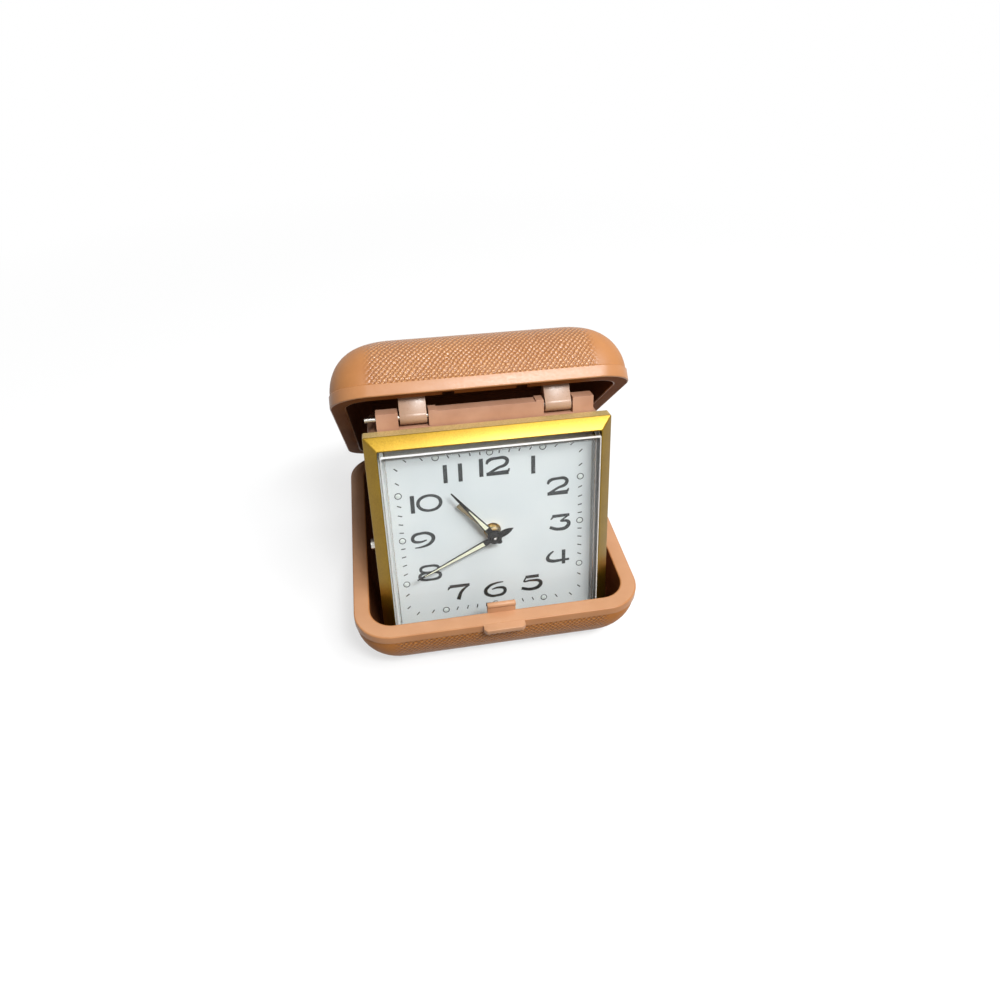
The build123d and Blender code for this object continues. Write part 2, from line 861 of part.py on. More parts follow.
def make_minute_wheel():
    phase = minute_wheel_bearing + half_turn + half_turn / minute_wheel_teeth
    body = gear(
        minute_wheel_teeth, motion_module, minute_wheel_at, cannon_n - motion_thick, cannon_n, phase
    )
    body += gear(
        minute_pinion_teeth, motion_module, minute_wheel_at, cannon_n, hour_wheel_n,
        minute_wheel_bearing + half_turn,
    )
    return body + disc(pivot_radius, plate_front_back, cannon_n, minute_wheel_at)


def make_hour_wheel():
    phase = minute_wheel_bearing + half_turn / hour_wheel_teeth
    body = gear(
        hour_wheel_teeth, motion_module, centre, hour_wheel_n - motion_thick, hour_wheel_n, phase
    )
    body += disc(hour_pipe, hour_wheel_n - motion_thick, hour_hand_n + hand_thick)
    return body - disc(minute_pipe + run_fit, hour_wheel_n - over, hands_top)


def make_alarm_wheel():
    body = gear(
        alarm_wheel_teeth, motion_module, centre, alarm_wheel_n - motion_thick, alarm_wheel_n,
        alarm_set_bearing,
    )
    body += disc(alarm_pipe, alarm_wheel_n - motion_thick, alarm_hand_n)
    return body - disc(hour_pipe + run_fit, alarm_wheel_n - over, alarm_hand_n + over)


def make_knob(at, stem):
    """Fluted setting knob behind the case, on its arbor."""
    high = rear_back - key_gap
    points = []
    for rib in range(knob_ribs):
        for share, radius in knob_flute_shares:
            angle = 2 * pi * (rib + share) / knob_ribs
            points.append((knob_radius * radius * cos(angle), knob_radius * radius * sin(angle)))
    face = make_face(Polyline(*points, close=True))
    body = extrude(face, knob_height - knob_crown)
    body += Pos(0, 0, knob_height - knob_crown) * extrude(face, knob_crown, taper=knob_crown_slope)
    body -= disc(stem, -over, knob_height / 2)
    return Pos(at[0], at[1], high) * Rot(half_turn, 0, 0) * body


def make_alarm_set():
    phase = alarm_set_bearing + half_turn + half_turn / alarm_set_teeth
    body = gear(
        alarm_set_teeth, motion_module, alarm_set_at, alarm_wheel_n - motion_thick, alarm_wheel_n, phase
    )
    body += disc(arbor_radius, rear_back - key_gap - knob_height / 2, alarm_wheel_n, alarm_set_at)
    return body


save("centre_arbor", make_centre_arbor(), clock_place)
save("minute_wheel", make_minute_wheel(), clock_place)
save("hour_wheel", make_hour_wheel(), clock_place)
save("alarm_wheel", make_alarm_wheel(), clock_place)
save("alarm_set_arbor", make_alarm_set(), clock_place)
save("time_set_knob", make_knob(centre, arbor_radius), clock_place)
save("alarm_set_knob", make_knob(alarm_set_at, arbor_radius), clock_place)


# Going train
def make_wheel_on_arbor(at, teeth, module, wheel_n, pinion_teeth, pinion_module, pinion_n, phase):
    body = arbor(at)
    blank = gear(teeth, module, at, wheel_n - wheel_thick, wheel_n, 0)
    radius = teeth * module / 2
    body += blank - spoke_holes(radius, at, wheel_n - wheel_thick, wheel_n)
    low = pinion_n - wheel_thick - end_shake
    return body + gear(pinion_teeth, pinion_module, at, low, low + pinion_height, phase)


def make_great_wheel(at, phase):
    body = gear(
        great_teeth, great_module, at, great_wheel_n - wheel_thick, great_wheel_n, phase
    )
    return body - disc(winding_arbor + run_fit, great_wheel_n - over, great_wheel_n + over, at)


third_phase = third_bearing + half_turn + half_turn / third_pinion_teeth
save("time_great_wheel", make_great_wheel(great_at, great_bearing + half_turn), clock_place)
save("third_wheel", make_wheel_on_arbor(
    third_at, third_teeth, third_module, third_wheel_n,
    third_pinion_teeth, centre_module, centre_wheel_n, third_phase), clock_place)


def make_fourth_wheel():
    body = arbor(fourth_at)
    low = fourth_wheel_n - wheel_thick
    blank = gear(fourth_teeth, fourth_module, fourth_at, low, fourth_wheel_n, escape_bearing)
    radius = fourth_teeth * fourth_module / 2
    body += blank - spoke_holes(radius, fourth_at, low, fourth_wheel_n)
    pinion_low = third_wheel_n - wheel_thick - end_shake
    return body + gear(
        fourth_pinion_teeth, third_module, fourth_at, pinion_low, pinion_low + pinion_height, 0
    )


def make_escape_wheel():
    body = arbor(escape_at)
    body += ratchet(
        escape_teeth, escape_radius, escape_root, escape_at,
        escape_wheel_n - wheel_thick, escape_wheel_n,
    )
    phase = escape_bearing + half_turn + half_turn / escape_pinion_teeth
    low = fourth_wheel_n - wheel_thick - end_shake
    return body + gear(
        escape_pinion_teeth, fourth_module, escape_at, low, low + pinion_height, phase
    )


save("fourth_wheel", make_fourth_wheel(), clock_place)
save("escape_wheel", make_escape_wheel(), clock_place)


def spiral(at, inner, outer, turns, steps, thick, low, high):
    """Flat spiral spring as one unbroken band."""
    total = turns * steps
    edges = []
    for side in (-1, 1):
        line = []
        for step in range(total + 1):
            angle = 2 * pi * step / steps
            radius = inner + (outer - inner) * step / total + side * thick / 2
            line.append((radius * cos(angle), radius * sin(angle)))
        edges.append(line)
    points = edges[0] + edges[1][::-1]
    face = make_face(Polyline(*points, close=True))
    return Pos(at[0], at[1], low) * extrude(face, high - low)


save("time_mainspring", spiral(great_at, spring_inner + spring_thick / 2, spring_outer, spring_turns,
                               spring_steps, spring_thick, spring_bottom, spring_top), clock_place)
save("alarm_mainspring", spiral(alarm_great_at, spring_inner + spring_thick / 2, spring_outer,
                                spring_turns, spring_steps, spring_thick, spring_bottom, spring_top),
     clock_place)


# Winding keys
def make_key(at):
    """Winding arbor with a butterfly key behind the case."""
    arbor_high = plate_front_back - end_shake
    body = disc(winding_arbor, rear_back - key_gap, arbor_high, at)
    body += disc(pivot_radius, arbor_high, front_plate_n, at)
    hub_low = rear_back - key_gap - key_hub_height
    body += disc(key_hub, hub_low, rear_back - key_gap, at)
    wing = None
    for side in (-1, 1):
        place = (at[0] + side * key_wing, at[1])
        tip = Pos(place[0], place[1], 0) * Circle(key_wing_end)
        wing = tip if wing is None else wing + tip
    waist = Pos(at[0], at[1], 0) * Rectangle(2 * key_wing, key_thick)
    plate = Pos(0, 0, key_top) * extrude(wing + waist, hub_low - key_top + key_overlap)
    return body + plate


save("time_winding_key", make_key(great_at), clock_place)
save("alarm_winding_key", make_key(alarm_great_at), clock_place)


# Escapement
def make_lever():
    toward_escape = bearing_of(lever_at, escape_at)
    toward_balance = bearing_of(lever_at, balance_at)
    low = lever_n - lever_thick
    body = disc(lever_hub, low, lever_n, lever_at) + arbor(lever_at, pivot_radius)
    fork = Pos(lever_at[0], lever_at[1], low) * Rot(0, 0, toward_balance) * Pos(lever_fork / 2, 0, 0)
    body += fork * extrude(Rectangle(lever_fork, lever_arm), lever_thick)
    arms = Pos(lever_at[0], lever_at[1], low) * Rot(0, 0, toward_escape)
    span = 2 * (lever_pin_spread + lever_pin)
    body += arms * Pos(lever_pin_out / 2, 0, 0) * extrude(Rectangle(lever_pin_out, span), lever_thick)
    for side in (-1, 1):
        pin = arms * Pos(lever_pin_out, side * lever_pin_spread, 0)
        body += pin * extrude(Circle(lever_pin), lever_pin_rise)
    return body


def make_balance():
    low = balance_n - balance_thick
    body = disc(balance_radius, low, balance_n, balance_at)
    body -= disc(balance_radius - balance_rim, low - over, balance_n + over, balance_at)
    arm_half = balance_radius - balance_rim / 2
    body += block(
        balance_u - arm_half, balance_u + arm_half, balance_v - balance_arm / 2,
        balance_v + balance_arm / 2, low, balance_n,
    )
    roller_low = lever_n - lever_thick / 2 - roller_height / 2
    body += disc(roller_radius, roller_low, roller_low + roller_height, balance_at)
    return body + arbor(balance_at)


def make_hairspring():
    return spiral(
        balance_at, hair_inner, hair_outer, hair_turns, hair_steps, hair_thick,
        hair_n - hair_height, hair_n,
    )


save("pallet_lever", make_lever(), clock_place)
save("balance_wheel", make_balance(), clock_place)
save("hairspring", make_hairspring(), clock_place)


# Alarm train
def make_alarm_escape():
    body = arbor(alarm_escape_at)
    body += ratchet(
        alarm_escape_teeth, alarm_escape_radius, alarm_escape_root, alarm_escape_at,
        alarm_escape_n - wheel_thick, alarm_escape_n,
    )
    phase = alarm_escape_bearing + half_turn + half_turn / great_pinion_teeth
    low = great_wheel_n - wheel_thick - end_shake
    return body + gear(
        great_pinion_teeth, great_module, alarm_escape_at, low, low + pinion_height, phase
    )


def make_hammer():
    low = hammer_n - hammer_thick
    body = arbor(hammer_at)
    body += block(
        hammer_u - hammer_width / 2, hammer_u + hammer_width / 2, hammer_v, hammer_v + hammer_arm,
        low, hammer_n,
    )
    head = (hammer_u, hammer_v + hammer_arm)
    return body + disc(hammer_head, low - hammer_thick, hammer_n, head)


save("alarm_great_wheel", make_great_wheel(alarm_great_at, alarm_escape_bearing), clock_place)
save("alarm_escape_wheel", make_alarm_escape(), clock_place)
save("alarm_hammer", make_hammer(), clock_place)


# Regulator and alarm stop, worked from behind the case
def make_regulator():
    high = plate_back_back - run_fit
    low = high - regulator_thick
    tip = toward(balance_at, regulator_reach, half_turn / 2)
    body = disc(regulator_hub, low, high, balance_at)
    body += block(
        balance_u - regulator_arm, balance_u + regulator_arm, balance_v, tip[1], low, high
    )
    body += disc(regulator_arm, rear_back - regulator_tab / 2, high, tip)
    return body - disc(pivot_radius + run_fit, low - over, high + over, balance_at)


def make_stop():
    high = rear_back + rear_wall + key_gap + stop_foot_thick
    low = rear_back - key_gap
    body = disc(stop_stem / 2, low - stop_button_height / 2, high, stop_at)
    body += disc(stop_foot / 2, high - stop_foot_thick, high, stop_at)
    return body + disc(stop_button, low - stop_button_height, low, stop_at)


save("regulator", make_regulator(), clock_place)
save("alarm_stop", make_stop(), clock_place)


# Movement frame
pivot_hole = pivot_radius + run_fit
train_at = (third_at, fourth_at, escape_at, lever_at, balance_at, alarm_escape_at, hammer_at)


def plate_blank(high):
    body = square(plate_half, high - plate_thick, high, plate_corner)
    for place in pillar_at:
        body -= disc(pillar_stud, high - plate_thick - over, high + over, place)
    return body


def make_front_plate():
    body = plate_blank(front_plate_n)
    low = plate_front_back - over
    for place in train_at + (centre, minute_wheel_at, great_at, alarm_great_at):
        body -= disc(pivot_hole, low, front_plate_n + over, place)
    body -= disc(arbor_radius + run_fit, low, front_plate_n + over, alarm_set_at)
    for place in foot_at:
        body -= disc(dial_foot, low, front_plate_n + over, place)
    return body


def make_back_plate():
    body = plate_blank(back_plate_n)
    low = plate_back_back - over
    for place in train_at:
        body -= disc(pivot_hole, low, back_plate_n + over, place)
    for place in (centre, alarm_set_at):
        body -= disc(arbor_radius + run_fit, low, back_plate_n + over, place)
    for place in (great_at, alarm_great_at):
        body -= disc(winding_arbor + run_fit, low, back_plate_n + over, place)
    return body


def make_pillar(at):
    body = disc(pillar_radius, plate_back_front, plate_front_back, at)
    body += disc(pillar_stud, plate_back_back, front_plate_n + pillar_tip, at)
    body += disc(pillar_radius, rear_back + rear_wall, plate_back_back, at)
    bore_high = rear_back + rear_wall + screw_reach
    return body - disc(screw_radius + screw_bore_clear, rear_back, bore_high, at)


def make_screw(at):
    head_low = rear_back - screw_head_thick
    body = disc(screw_head, head_low, rear_back, at)
    body += disc(screw_radius, rear_back, rear_back + rear_wall + screw_reach - run_fit, at)
    return body - block(
        at[0] - screw_head - over, at[0] + screw_head + over, at[1] - screw_slot / 2,
        at[1] + screw_slot / 2, head_low - over, head_low + screw_slot,
    )


save("front_plate", make_front_plate(), clock_place)
save("back_plate", make_back_plate(), clock_place)
save_group("movement_pillars", [make_pillar(place) for place in pillar_at], clock_place)
save_group("case_screws", [make_screw(place) for place in pillar_at], clock_place)
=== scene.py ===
import bmesh
import bpy
import json
from bmesh.types import BMEdge, BMFace, BMVert
from math import atan2, cos, hypot, pi, radians, sin
from mathutils import Matrix, Vector


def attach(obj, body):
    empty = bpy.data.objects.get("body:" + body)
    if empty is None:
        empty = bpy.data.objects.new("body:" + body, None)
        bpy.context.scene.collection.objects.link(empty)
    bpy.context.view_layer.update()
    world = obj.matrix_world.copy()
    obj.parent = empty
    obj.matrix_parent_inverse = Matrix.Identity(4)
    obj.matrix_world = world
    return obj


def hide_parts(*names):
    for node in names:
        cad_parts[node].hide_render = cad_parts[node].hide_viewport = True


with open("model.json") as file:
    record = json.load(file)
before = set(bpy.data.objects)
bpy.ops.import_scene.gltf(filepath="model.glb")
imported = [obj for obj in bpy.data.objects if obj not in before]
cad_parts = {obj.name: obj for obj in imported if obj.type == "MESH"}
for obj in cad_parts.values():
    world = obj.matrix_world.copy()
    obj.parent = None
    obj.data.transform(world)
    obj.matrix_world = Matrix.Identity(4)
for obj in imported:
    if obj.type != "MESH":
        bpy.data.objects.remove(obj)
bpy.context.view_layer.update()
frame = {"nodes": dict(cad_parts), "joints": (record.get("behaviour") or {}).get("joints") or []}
nodes = frame["nodes"]
joints = {joint["name"]: joint for joint in frame["joints"]}
mm = 0.001

# Base shell: the lower half of the case, one moulding in caramel plastic.
# A smooth band runs round the rim, and below it the sides and bottom carry a
# pressed leather grain that sits a hair's breadth lower than the band.
case_width, case_depth, shell_height, shell_corner = 80.0 * mm, 81.0 * mm, 17.5 * mm, 10.5 * mm
base_round, base_band, base_rim, floor_wall = 13.8 * mm, 2.6 * mm, 4.35 * mm, 1.4 * mm
inner_corner, inner_round, inner_straight = 6.3 * mm, 5.3 * mm, 5.5 * mm
grain_step, rim_soft = 0.25 * mm, 0.32 * mm
corner_parts, roll_parts, soft_parts = 12, 22, 4
smooth_slot, grain_slot, inside_slot, rim_slot = 0, 1, 2, 3
grain_waves = ((0.73, 0.65, 0.5), (0.73, -0.65, 0.32), (0.0, 1.3, 0.22))
grain_drifts = ((420.0, 0.9 * mm), (1500.0, 0.3 * mm))
grain_height = 0.24 * mm
panel_fade, flank_fade = (28.0 * mm, 30.5 * mm), (32.5 * mm, 34.5 * mm)


def paint(red, green, blue):
    """Linear colour from the usual 0 to 255 screen values."""
    def straight(value):
        share = value / 255
        return share / 12.92 if share <= 0.04045 else ((share + 0.055) / 1.055) ** 2.4
    return (straight(red), straight(green), straight(blue), 1.0)


def new_material(name):
    """Material with nodes; returns it, its node tree and its Principled shader."""
    material = bpy.data.materials.new(name)
    material.use_nodes = True
    tree = material.node_tree
    return material, tree, tree.nodes["Principled BSDF"]


def give(socket, value):
    """Links an output to a socket, or sets the socket to a plain value."""
    if isinstance(value, bpy.types.NodeSocket):
        socket.id_data.links.new(value, socket)
    else:
        socket.default_value = value


def fill(node, **sockets):
    """Gives a node's sockets, named with _ for a blank, what belongs on them."""
    for label, value in sockets.items():
        give(node.inputs[label.replace("_", " ")], value)
    return node


def add_node(tree, kind, **sockets):
    return fill(tree.nodes.new(kind), **sockets)


def new_group(name, inputs, outputs):
    """Empty shader group with named float, colour or vector sockets."""
    tree = bpy.data.node_groups.new(name, "ShaderNodeTree")
    for label, kind, value in inputs:
        socket = tree.interface.new_socket(label, in_out="INPUT", socket_type=kind)
        socket.default_value = value
    for label, kind in outputs:
        tree.interface.new_socket(label, in_out="OUTPUT", socket_type=kind)
    return tree, tree.nodes.new("NodeGroupInput"), tree.nodes.new("NodeGroupOutput")


def add_group(tree, group, **values):
    node = tree.nodes.new("ShaderNodeGroup")
    node.node_tree = group
    return fill(node, **values)


def math_node(tree, operation, first, second):
    node = tree.nodes.new("ShaderNodeMath")
    node.operation = operation
    give(node.inputs[0], first)
    give(node.inputs[1], second)
    return node.outputs[0]


def colour_mix(tree, share, low, high):
    """Blend of two colours; each may be a plain colour or an output."""
    node = tree.nodes.new("ShaderNodeMix")
    node.data_type = "RGBA"
    for socket, value in zip((node.inputs["Factor"], *node.inputs[6:8]), (share, low, high)):
        give(socket, value)
    return node.outputs[2]


def object_noise(tree, scale, detail, rough=0.55, stretch=(1, 1, 1)):
    """Noise in the object's own coordinates, scale in features per metre."""
    place = add_node(tree, "ShaderNodeTexCoord")
    turn = add_node(tree, "ShaderNodeMapping", Scale=stretch, Vector=place.outputs["Object"])
    noise = add_node(tree, "ShaderNodeTexNoise", Scale=scale, Detail=detail, Roughness=rough,
                     Vector=turn.outputs["Vector"])
    return noise.outputs["Fac"]


def spread(tree, value, low, high, new_low=0.0, new_high=1.0):
    """Value mapped from one range onto another and held inside it."""
    node = add_node(tree, "ShaderNodeMapRange", Value=value, From_Min=low, From_Max=high,
                    To_Min=new_low, To_Max=new_high)
    return node.outputs["Result"]


def bump(tree, height, strength, distance, shader):
    node = add_node(tree, "ShaderNodeBump", Strength=strength, Distance=distance, Height=height)
    fill(shader, Normal=node.outputs["Normal"])


def build_mould_group():
    """Fine unevenness and mottling of a moulded plastic face."""
    tree, start, end = new_group(
        "moulded_face",
        [("Tone", "NodeSocketColor", (1, 1, 1, 1)), ("Shade", "NodeSocketColor", (0, 0, 0, 1))],
        [("Color", "NodeSocketColor"), ("Roughness", "NodeSocketFloat"),
         ("Height", "NodeSocketFloat")],
    )
    share = spread(tree, object_noise(tree, 90.0, 4.0), 0.3, 0.7)
    haze = object_noise(tree, 1500.0, 4.0)
    speck = object_noise(tree, 2600.0, 3.0)
    ripple = object_noise(tree, 260.0, 2.0)
    fill(end, Color=colour_mix(tree, share, start.outputs["Shade"], start.outputs["Tone"]),
         Roughness=spread(tree, haze, 0.3, 0.7),
         Height=math_node(tree, "ADD", math_node(tree, "MULTIPLY", speck, 0.35), ripple))
    return tree


def build_grain_group():
    """Leather grain: slanting pebbles in staggered rows that fade out at the corners."""
    tree, start, end = new_group(
        "leather_grain", [("Depth", "NodeSocketFloat", 1.0)],
        [("Height", "NodeSocketFloat"), ("Crease", "NodeSocketFloat"),
         ("Panel", "NodeSocketFloat")],
    )
    place = tree.nodes.new("ShaderNodeUVMap")
    place.uv_map = "grain_place"
    lines = place.outputs["UV"]
    for scale, drift in grain_drifts:
        warp = add_node(tree, "ShaderNodeTexNoise", Scale=scale, Detail=1.0,
                        Vector=place.outputs["UV"])
        shift = tree.nodes.new("ShaderNodeVectorMath")
        shift.operation = "MULTIPLY_ADD"
        for socket, value in zip(shift.inputs, (warp.outputs["Color"], (drift, drift, 0.0), lines)):
            give(socket, value)
        lines = shift.outputs["Vector"]
    once = 2 * pi / mm
    crown = None
    for across, along, weight in grain_waves:
        turn = tree.nodes.new("ShaderNodeVectorMath")
        turn.operation = "DOT_PRODUCT"
        give(turn.inputs[0], lines)
        give(turn.inputs[1], (once * across, once * along, 0.0))
        wave = math_node(tree, "COSINE", turn.outputs["Value"], 0.0)
        wave = math_node(tree, "MULTIPLY", wave, weight)
        crown = wave if crown is None else math_node(tree, "ADD", crown, wave)
    hollow = spread(tree, crown, -0.75, 1.0, 1.0, 0.0)
    pebble = math_node(tree, "SUBTRACT", 1.0, math_node(tree, "POWER", hollow, 1.7))
    plan = tree.nodes.new("ShaderNodeUVMap")
    plan.uv_map = "plan_place"
    parts = add_node(tree, "ShaderNodeSeparateXYZ", Vector=plan.outputs["UV"])
    across = math_node(tree, "ABSOLUTE", parts.outputs["X"], 0.0)
    along = math_node(tree, "ABSOLUTE", parts.outputs["Y"], 0.0)
    front = spread(tree, across, *panel_fade, 1.0, 0.0)
    flank = math_node(tree, "MULTIPLY", spread(tree, along, *panel_fade, 1.0, 0.0),
                      spread(tree, across, *flank_fade))
    panel = math_node(tree, "MAXIMUM", front, flank)
    panel = math_node(tree, "MULTIPLY", panel, start.outputs["Depth"])
    # This crease mask carries the painted shade in the grain's hollows.
    low = spread(tree, pebble, 0.15, 0.75, 1.0, 0.0)
    fill(end, Height=math_node(tree, "MULTIPLY", pebble, panel),
         Crease=math_node(tree, "MULTIPLY", low, panel), Panel=panel)
    return tree


mould_group = build_mould_group()
grain_group = build_grain_group()


def smooth_plastic(name, tone, shade, rough, shine=0.5):
    """Plain moulded plastic with a soft sheen."""
    material, tree, shader = new_material(name)
    face = add_group(tree, mould_group, Tone=tone, Shade=shade)
    fill(shader, Base_Color=face.outputs["Color"], Specular_IOR_Level=shine,
         Roughness=spread(tree, face.outputs["Roughness"], 0.0, 1.0, *rough))
    bump(tree, face.outputs["Height"], 0.2, 0.1 * mm, shader)
    return material


def grained_plastic(name, tone, shade, crease_shade, crest_highlight, rough, shine):
    """The same plastic under its leather grain, with painted shade in the creases and a painted
    highlight on the crests.
    """
    material, tree, shader = new_material(name)
    face = add_group(tree, mould_group, Tone=tone, Shade=shade)
    grain = add_group(tree, grain_group)
    # Painted shade: the colour darkens towards the crease colour in the grain's hollows.
    low = math_node(tree, "MULTIPLY", grain.outputs["Crease"], 0.6)
    # Painted highlight: the colour pales towards the crest colour on the pebbles' tops.
    high = spread(tree, grain.outputs["Height"], 0.8, 1.0, 0.0, 0.55)
    colour = colour_mix(tree, low, face.outputs["Color"], crease_shade)
    dull = math_node(tree, "ADD", spread(tree, grain.outputs["Panel"], 0.0, 1.0, 0.48, rough),
                     math_node(tree, "MULTIPLY", face.outputs["Roughness"], 0.08))
    fill(shader, Base_Color=colour_mix(tree, high, colour, crest_highlight), Roughness=dull,
         Specular_IOR_Level=shine)
    whole = math_node(tree, "ADD", grain.outputs["Height"],
                      math_node(tree, "MULTIPLY", face.outputs["Height"], 0.06))
    bump(tree, whole, 1.0, grain_height, shader)
    return material


case_smooth = smooth_plastic("case_smooth", paint(178, 123, 78), paint(168, 112, 66),
                             (0.3, 0.4), 0.42)
# Paler copy of the case plastic: painted light and sheen on the rim's top face and on the catch.
case_rim_painted_light = smooth_plastic("case_rim_painted_light", paint(188, 140, 104), paint(178, 130, 94), (0.3, 0.4), 0.3)
# Third colour: painted shade in the grain's creases; fourth: painted highlight on its crests.
case_grain = grained_plastic("case_grain", paint(184, 119, 60), paint(170, 107, 50),
                             paint(126, 72, 32), paint(208, 148, 88), 0.34, 0.12)
# Darker copy of the case plastic: painted shade inside the shells.
case_inside_painted_shade = smooth_plastic("case_inside_painted_shade", paint(112, 66, 38), paint(94, 54, 30),
                             (0.5, 0.65), 0.12)


def rounded_loop(shape, width, depth, corner):
    """Flat rounded rectangle at level 0, its face taken out; returns its ring of edges."""
    before = set(shape.verts)
    made = bmesh.ops.create_grid(shape, x_segments=1, y_segments=1, size=0.5)
    bmesh.ops.scale(shape, vec=(width, depth, 1), verts=made["verts"])
    bmesh.ops.bevel(shape, geom=made["verts"], offset=corner, segments=corner_parts, profile=0.5,
                    affect="VERTICES", material=-1)
    ring = {v for v in shape.verts if v not in before}
    faces = list({f for v in ring for f in v.link_faces})
    bmesh.ops.delete(shape, geom=faces, context="FACES_ONLY")
    return list({e for v in ring for e in v.link_edges})


def made_of(made, kind):
    """The vertices, edges or faces that an operator has just made."""
    return [part for part in made["geom"] if isinstance(part, kind)]


def run_profile(shape, edges, steps, width, depth, slot_of):
    """Extrudes a ring at level 0 through (inset, level) steps; returns the last ring, its run."""
    arc = shape.verts.layers.float["arc"]
    inset_now, level_now, run = 0.0, 0.0, 0.0
    for inset, level in steps:
        made = bmesh.ops.extrude_edge_only(shape, edges=edges)
        verts = made_of(made, BMVert)
        grow_x = (width / 2 - inset) / (width / 2 - inset_now)
        grow_y = (depth / 2 - inset) / (depth / 2 - inset_now)
        bmesh.ops.scale(shape, vec=(grow_x, grow_y, 1), verts=verts)
        bmesh.ops.translate(shape, vec=(0, 0, level - level_now), verts=verts)
        run += hypot(inset - inset_now, level - level_now)
        for vert in verts:
            vert[arc] = run
        for face in made_of(made, BMFace):
            face.material_index = slot_of(inset, level)
        edges = [e for e in made_of(made, BMEdge) if all(v in verts for v in e.verts)]
        inset_now, level_now = inset, level
    return edges, run


def close_ring(shape, ring, slot):
    for face in bmesh.ops.contextual_create(shape, geom=ring)["faces"]:
        face.material_index = slot


def quarter(parts):
    """Angles that go round a quarter turn, without the first."""
    return [pi / 2 * (part + 1) / parts for part in range(parts)]


def lay_grain_maps(shape, run, flat_half):
    """UV maps in metres: one follows the grain round the shell, one is the plan."""
    arc = shape.verts.layers.float["arc"]
    grain_map = shape.loops.layers.uv.new("grain_place")
    plan_map = shape.loops.layers.uv.new("plan_place")
    for face in shape.faces:
        middle = face.calc_center_median()
        flat = len(face.verts) > 4
        across = case_depth / 2 - abs(middle.y) <= case_width / 2 - abs(middle.x)
        for loop in face.loops:
            x, y, _ = loop.vert.co
            along = loop.vert[arc]
            if flat:
                along = run + flat_half + y
            elif across and middle.y > 0:
                along = 2 * (run + flat_half) - along
            loop[grain_map].uv = (x, along) if flat or across else (y, along)
            loop[plan_map].uv = (x, y)


def shell_shape(rim, band, roll):
    """One half of the case with its rim up at level 0, as a closed bmesh."""
    shape = bmesh.new()
    shape.verts.layers.float.new("arc")
    outer_size = (case_width - 2 * rim_soft, case_depth - 2 * rim_soft)
    inner_size = (case_width - 2 * rim + 2 * rim_soft, case_depth - 2 * rim + 2 * rim_soft)
    outer = rounded_loop(shape, *outer_size, shell_corner - rim_soft)
    inner = rounded_loop(shape, *inner_size, inner_corner + rim_soft)
    for face in bmesh.ops.bridge_loops(shape, edges=outer + inner)["faces"]:
        face.material_index = rim_slot
    outside = [(-rim_soft * sin(t), -rim_soft * (1 - cos(t))) for t in quarter(soft_parts)]
    step_level = -band - grain_step / 3
    outside.append((-rim_soft, -band + grain_step))
    outside.append((grain_step - rim_soft, step_level))
    for t in quarter(roll_parts):
        inset = roll * (1 - cos(t)) + grain_step * cos(t) - rim_soft
        outside.append((inset, step_level - (shell_height + step_level) * sin(t)))
    last, run = run_profile(shape, outer, outside, *outer_size,
                            lambda inset, level: grain_slot if level < -band else smooth_slot)
    close_ring(shape, last, grain_slot)
    inside = [(rim_soft * sin(t), -rim_soft * (1 - cos(t))) for t in quarter(soft_parts)]
    inside.append((rim_soft, -inner_straight))
    inner_drop = shell_height - floor_wall - inner_straight
    for t in quarter(roll_parts // 2):
        inside.append((rim_soft + inner_round * (1 - cos(t)),
                       -inner_straight - inner_drop * sin(t)))
    last, _ = run_profile(
        shape, inner, inside, *inner_size,
        lambda inset, level: inside_slot if level < -rim_soft * 1.2 else smooth_slot,
    )
    close_ring(shape, last, inside_slot)
    bmesh.ops.recalc_face_normals(shape, faces=shape.faces)
    lay_grain_maps(shape, run, case_depth / 2 - roll)
    return shape


def add_object(name, data):
    made = bpy.data.objects.new(name, data)
    bpy.context.scene.collection.objects.link(made)
    return made


def smooth(mesh, sharp):
    mesh.shade_smooth()
    mesh.set_sharp_from_angle(angle=radians(sharp))


def settle(name, shape, materials, body, place=None, sharp=30.0, replaced=()):
    """Turns a bmesh into a finished piece on its body, its place in its mesh."""
    if place is not None:
        bmesh.ops.transform(shape, matrix=place, verts=shape.verts)
    mesh = bpy.data.meshes.new(name)
    shape.to_mesh(mesh)
    shape.free()
    for material in materials:
        mesh.materials.append(material)
    smooth(mesh, sharp)
    piece = add_object(name, mesh)
    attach(piece, body)
    if replaced:
        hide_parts(*replaced)
    return piece


def cut_away(piece, shape):
    """Cuts a bmesh's volume out of a finished piece and applies it."""
    mesh = bpy.data.meshes.new("cutter")
    shape.to_mesh(mesh)
    shape.free()
    tool = add_object("cutter", mesh)
    step = piece.modifiers.new("cut", "BOOLEAN")
    step.operation = "DIFFERENCE"
    step.solver = "EXACT"
    step.object = tool
    bpy.context.view_layer.update()
    done = piece.evaluated_get(bpy.context.evaluated_depsgraph_get())
    cut = bpy.data.meshes.new_from_object(done)
    piece.modifiers.remove(step)
    cut.name = piece.name
    piece.data = cut
    bpy.data.objects.remove(tool)
    smooth(cut, 30.0)


def bevel(shape, edges, offset, parts):
    return bmesh.ops.bevel(shape, geom=list(edges), offset=offset, segments=parts, profile=0.5,
                           affect="EDGES", material=-1)


def add_block(shape, low, high, soft=0.0):
    """Box between two corners with softened edges."""
    made = bmesh.ops.create_cube(shape, size=1.0)
    size = [b - a for a, b in zip(low, high)]
    middle = [(a + b) / 2 for a, b in zip(low, high)]
    bmesh.ops.scale(shape, vec=size, verts=made["verts"])
    bmesh.ops.translate(shape, vec=middle, verts=made["verts"])
    if soft > 0:
        bevel(shape, {e for v in made["verts"] for e in v.link_edges}, soft, 2)


def end_rims(edges):
    """The edges between a round bar's side and its flat ends."""
    return [e for e in edges if any(len(face.verts) > 4 for face in e.link_faces)]


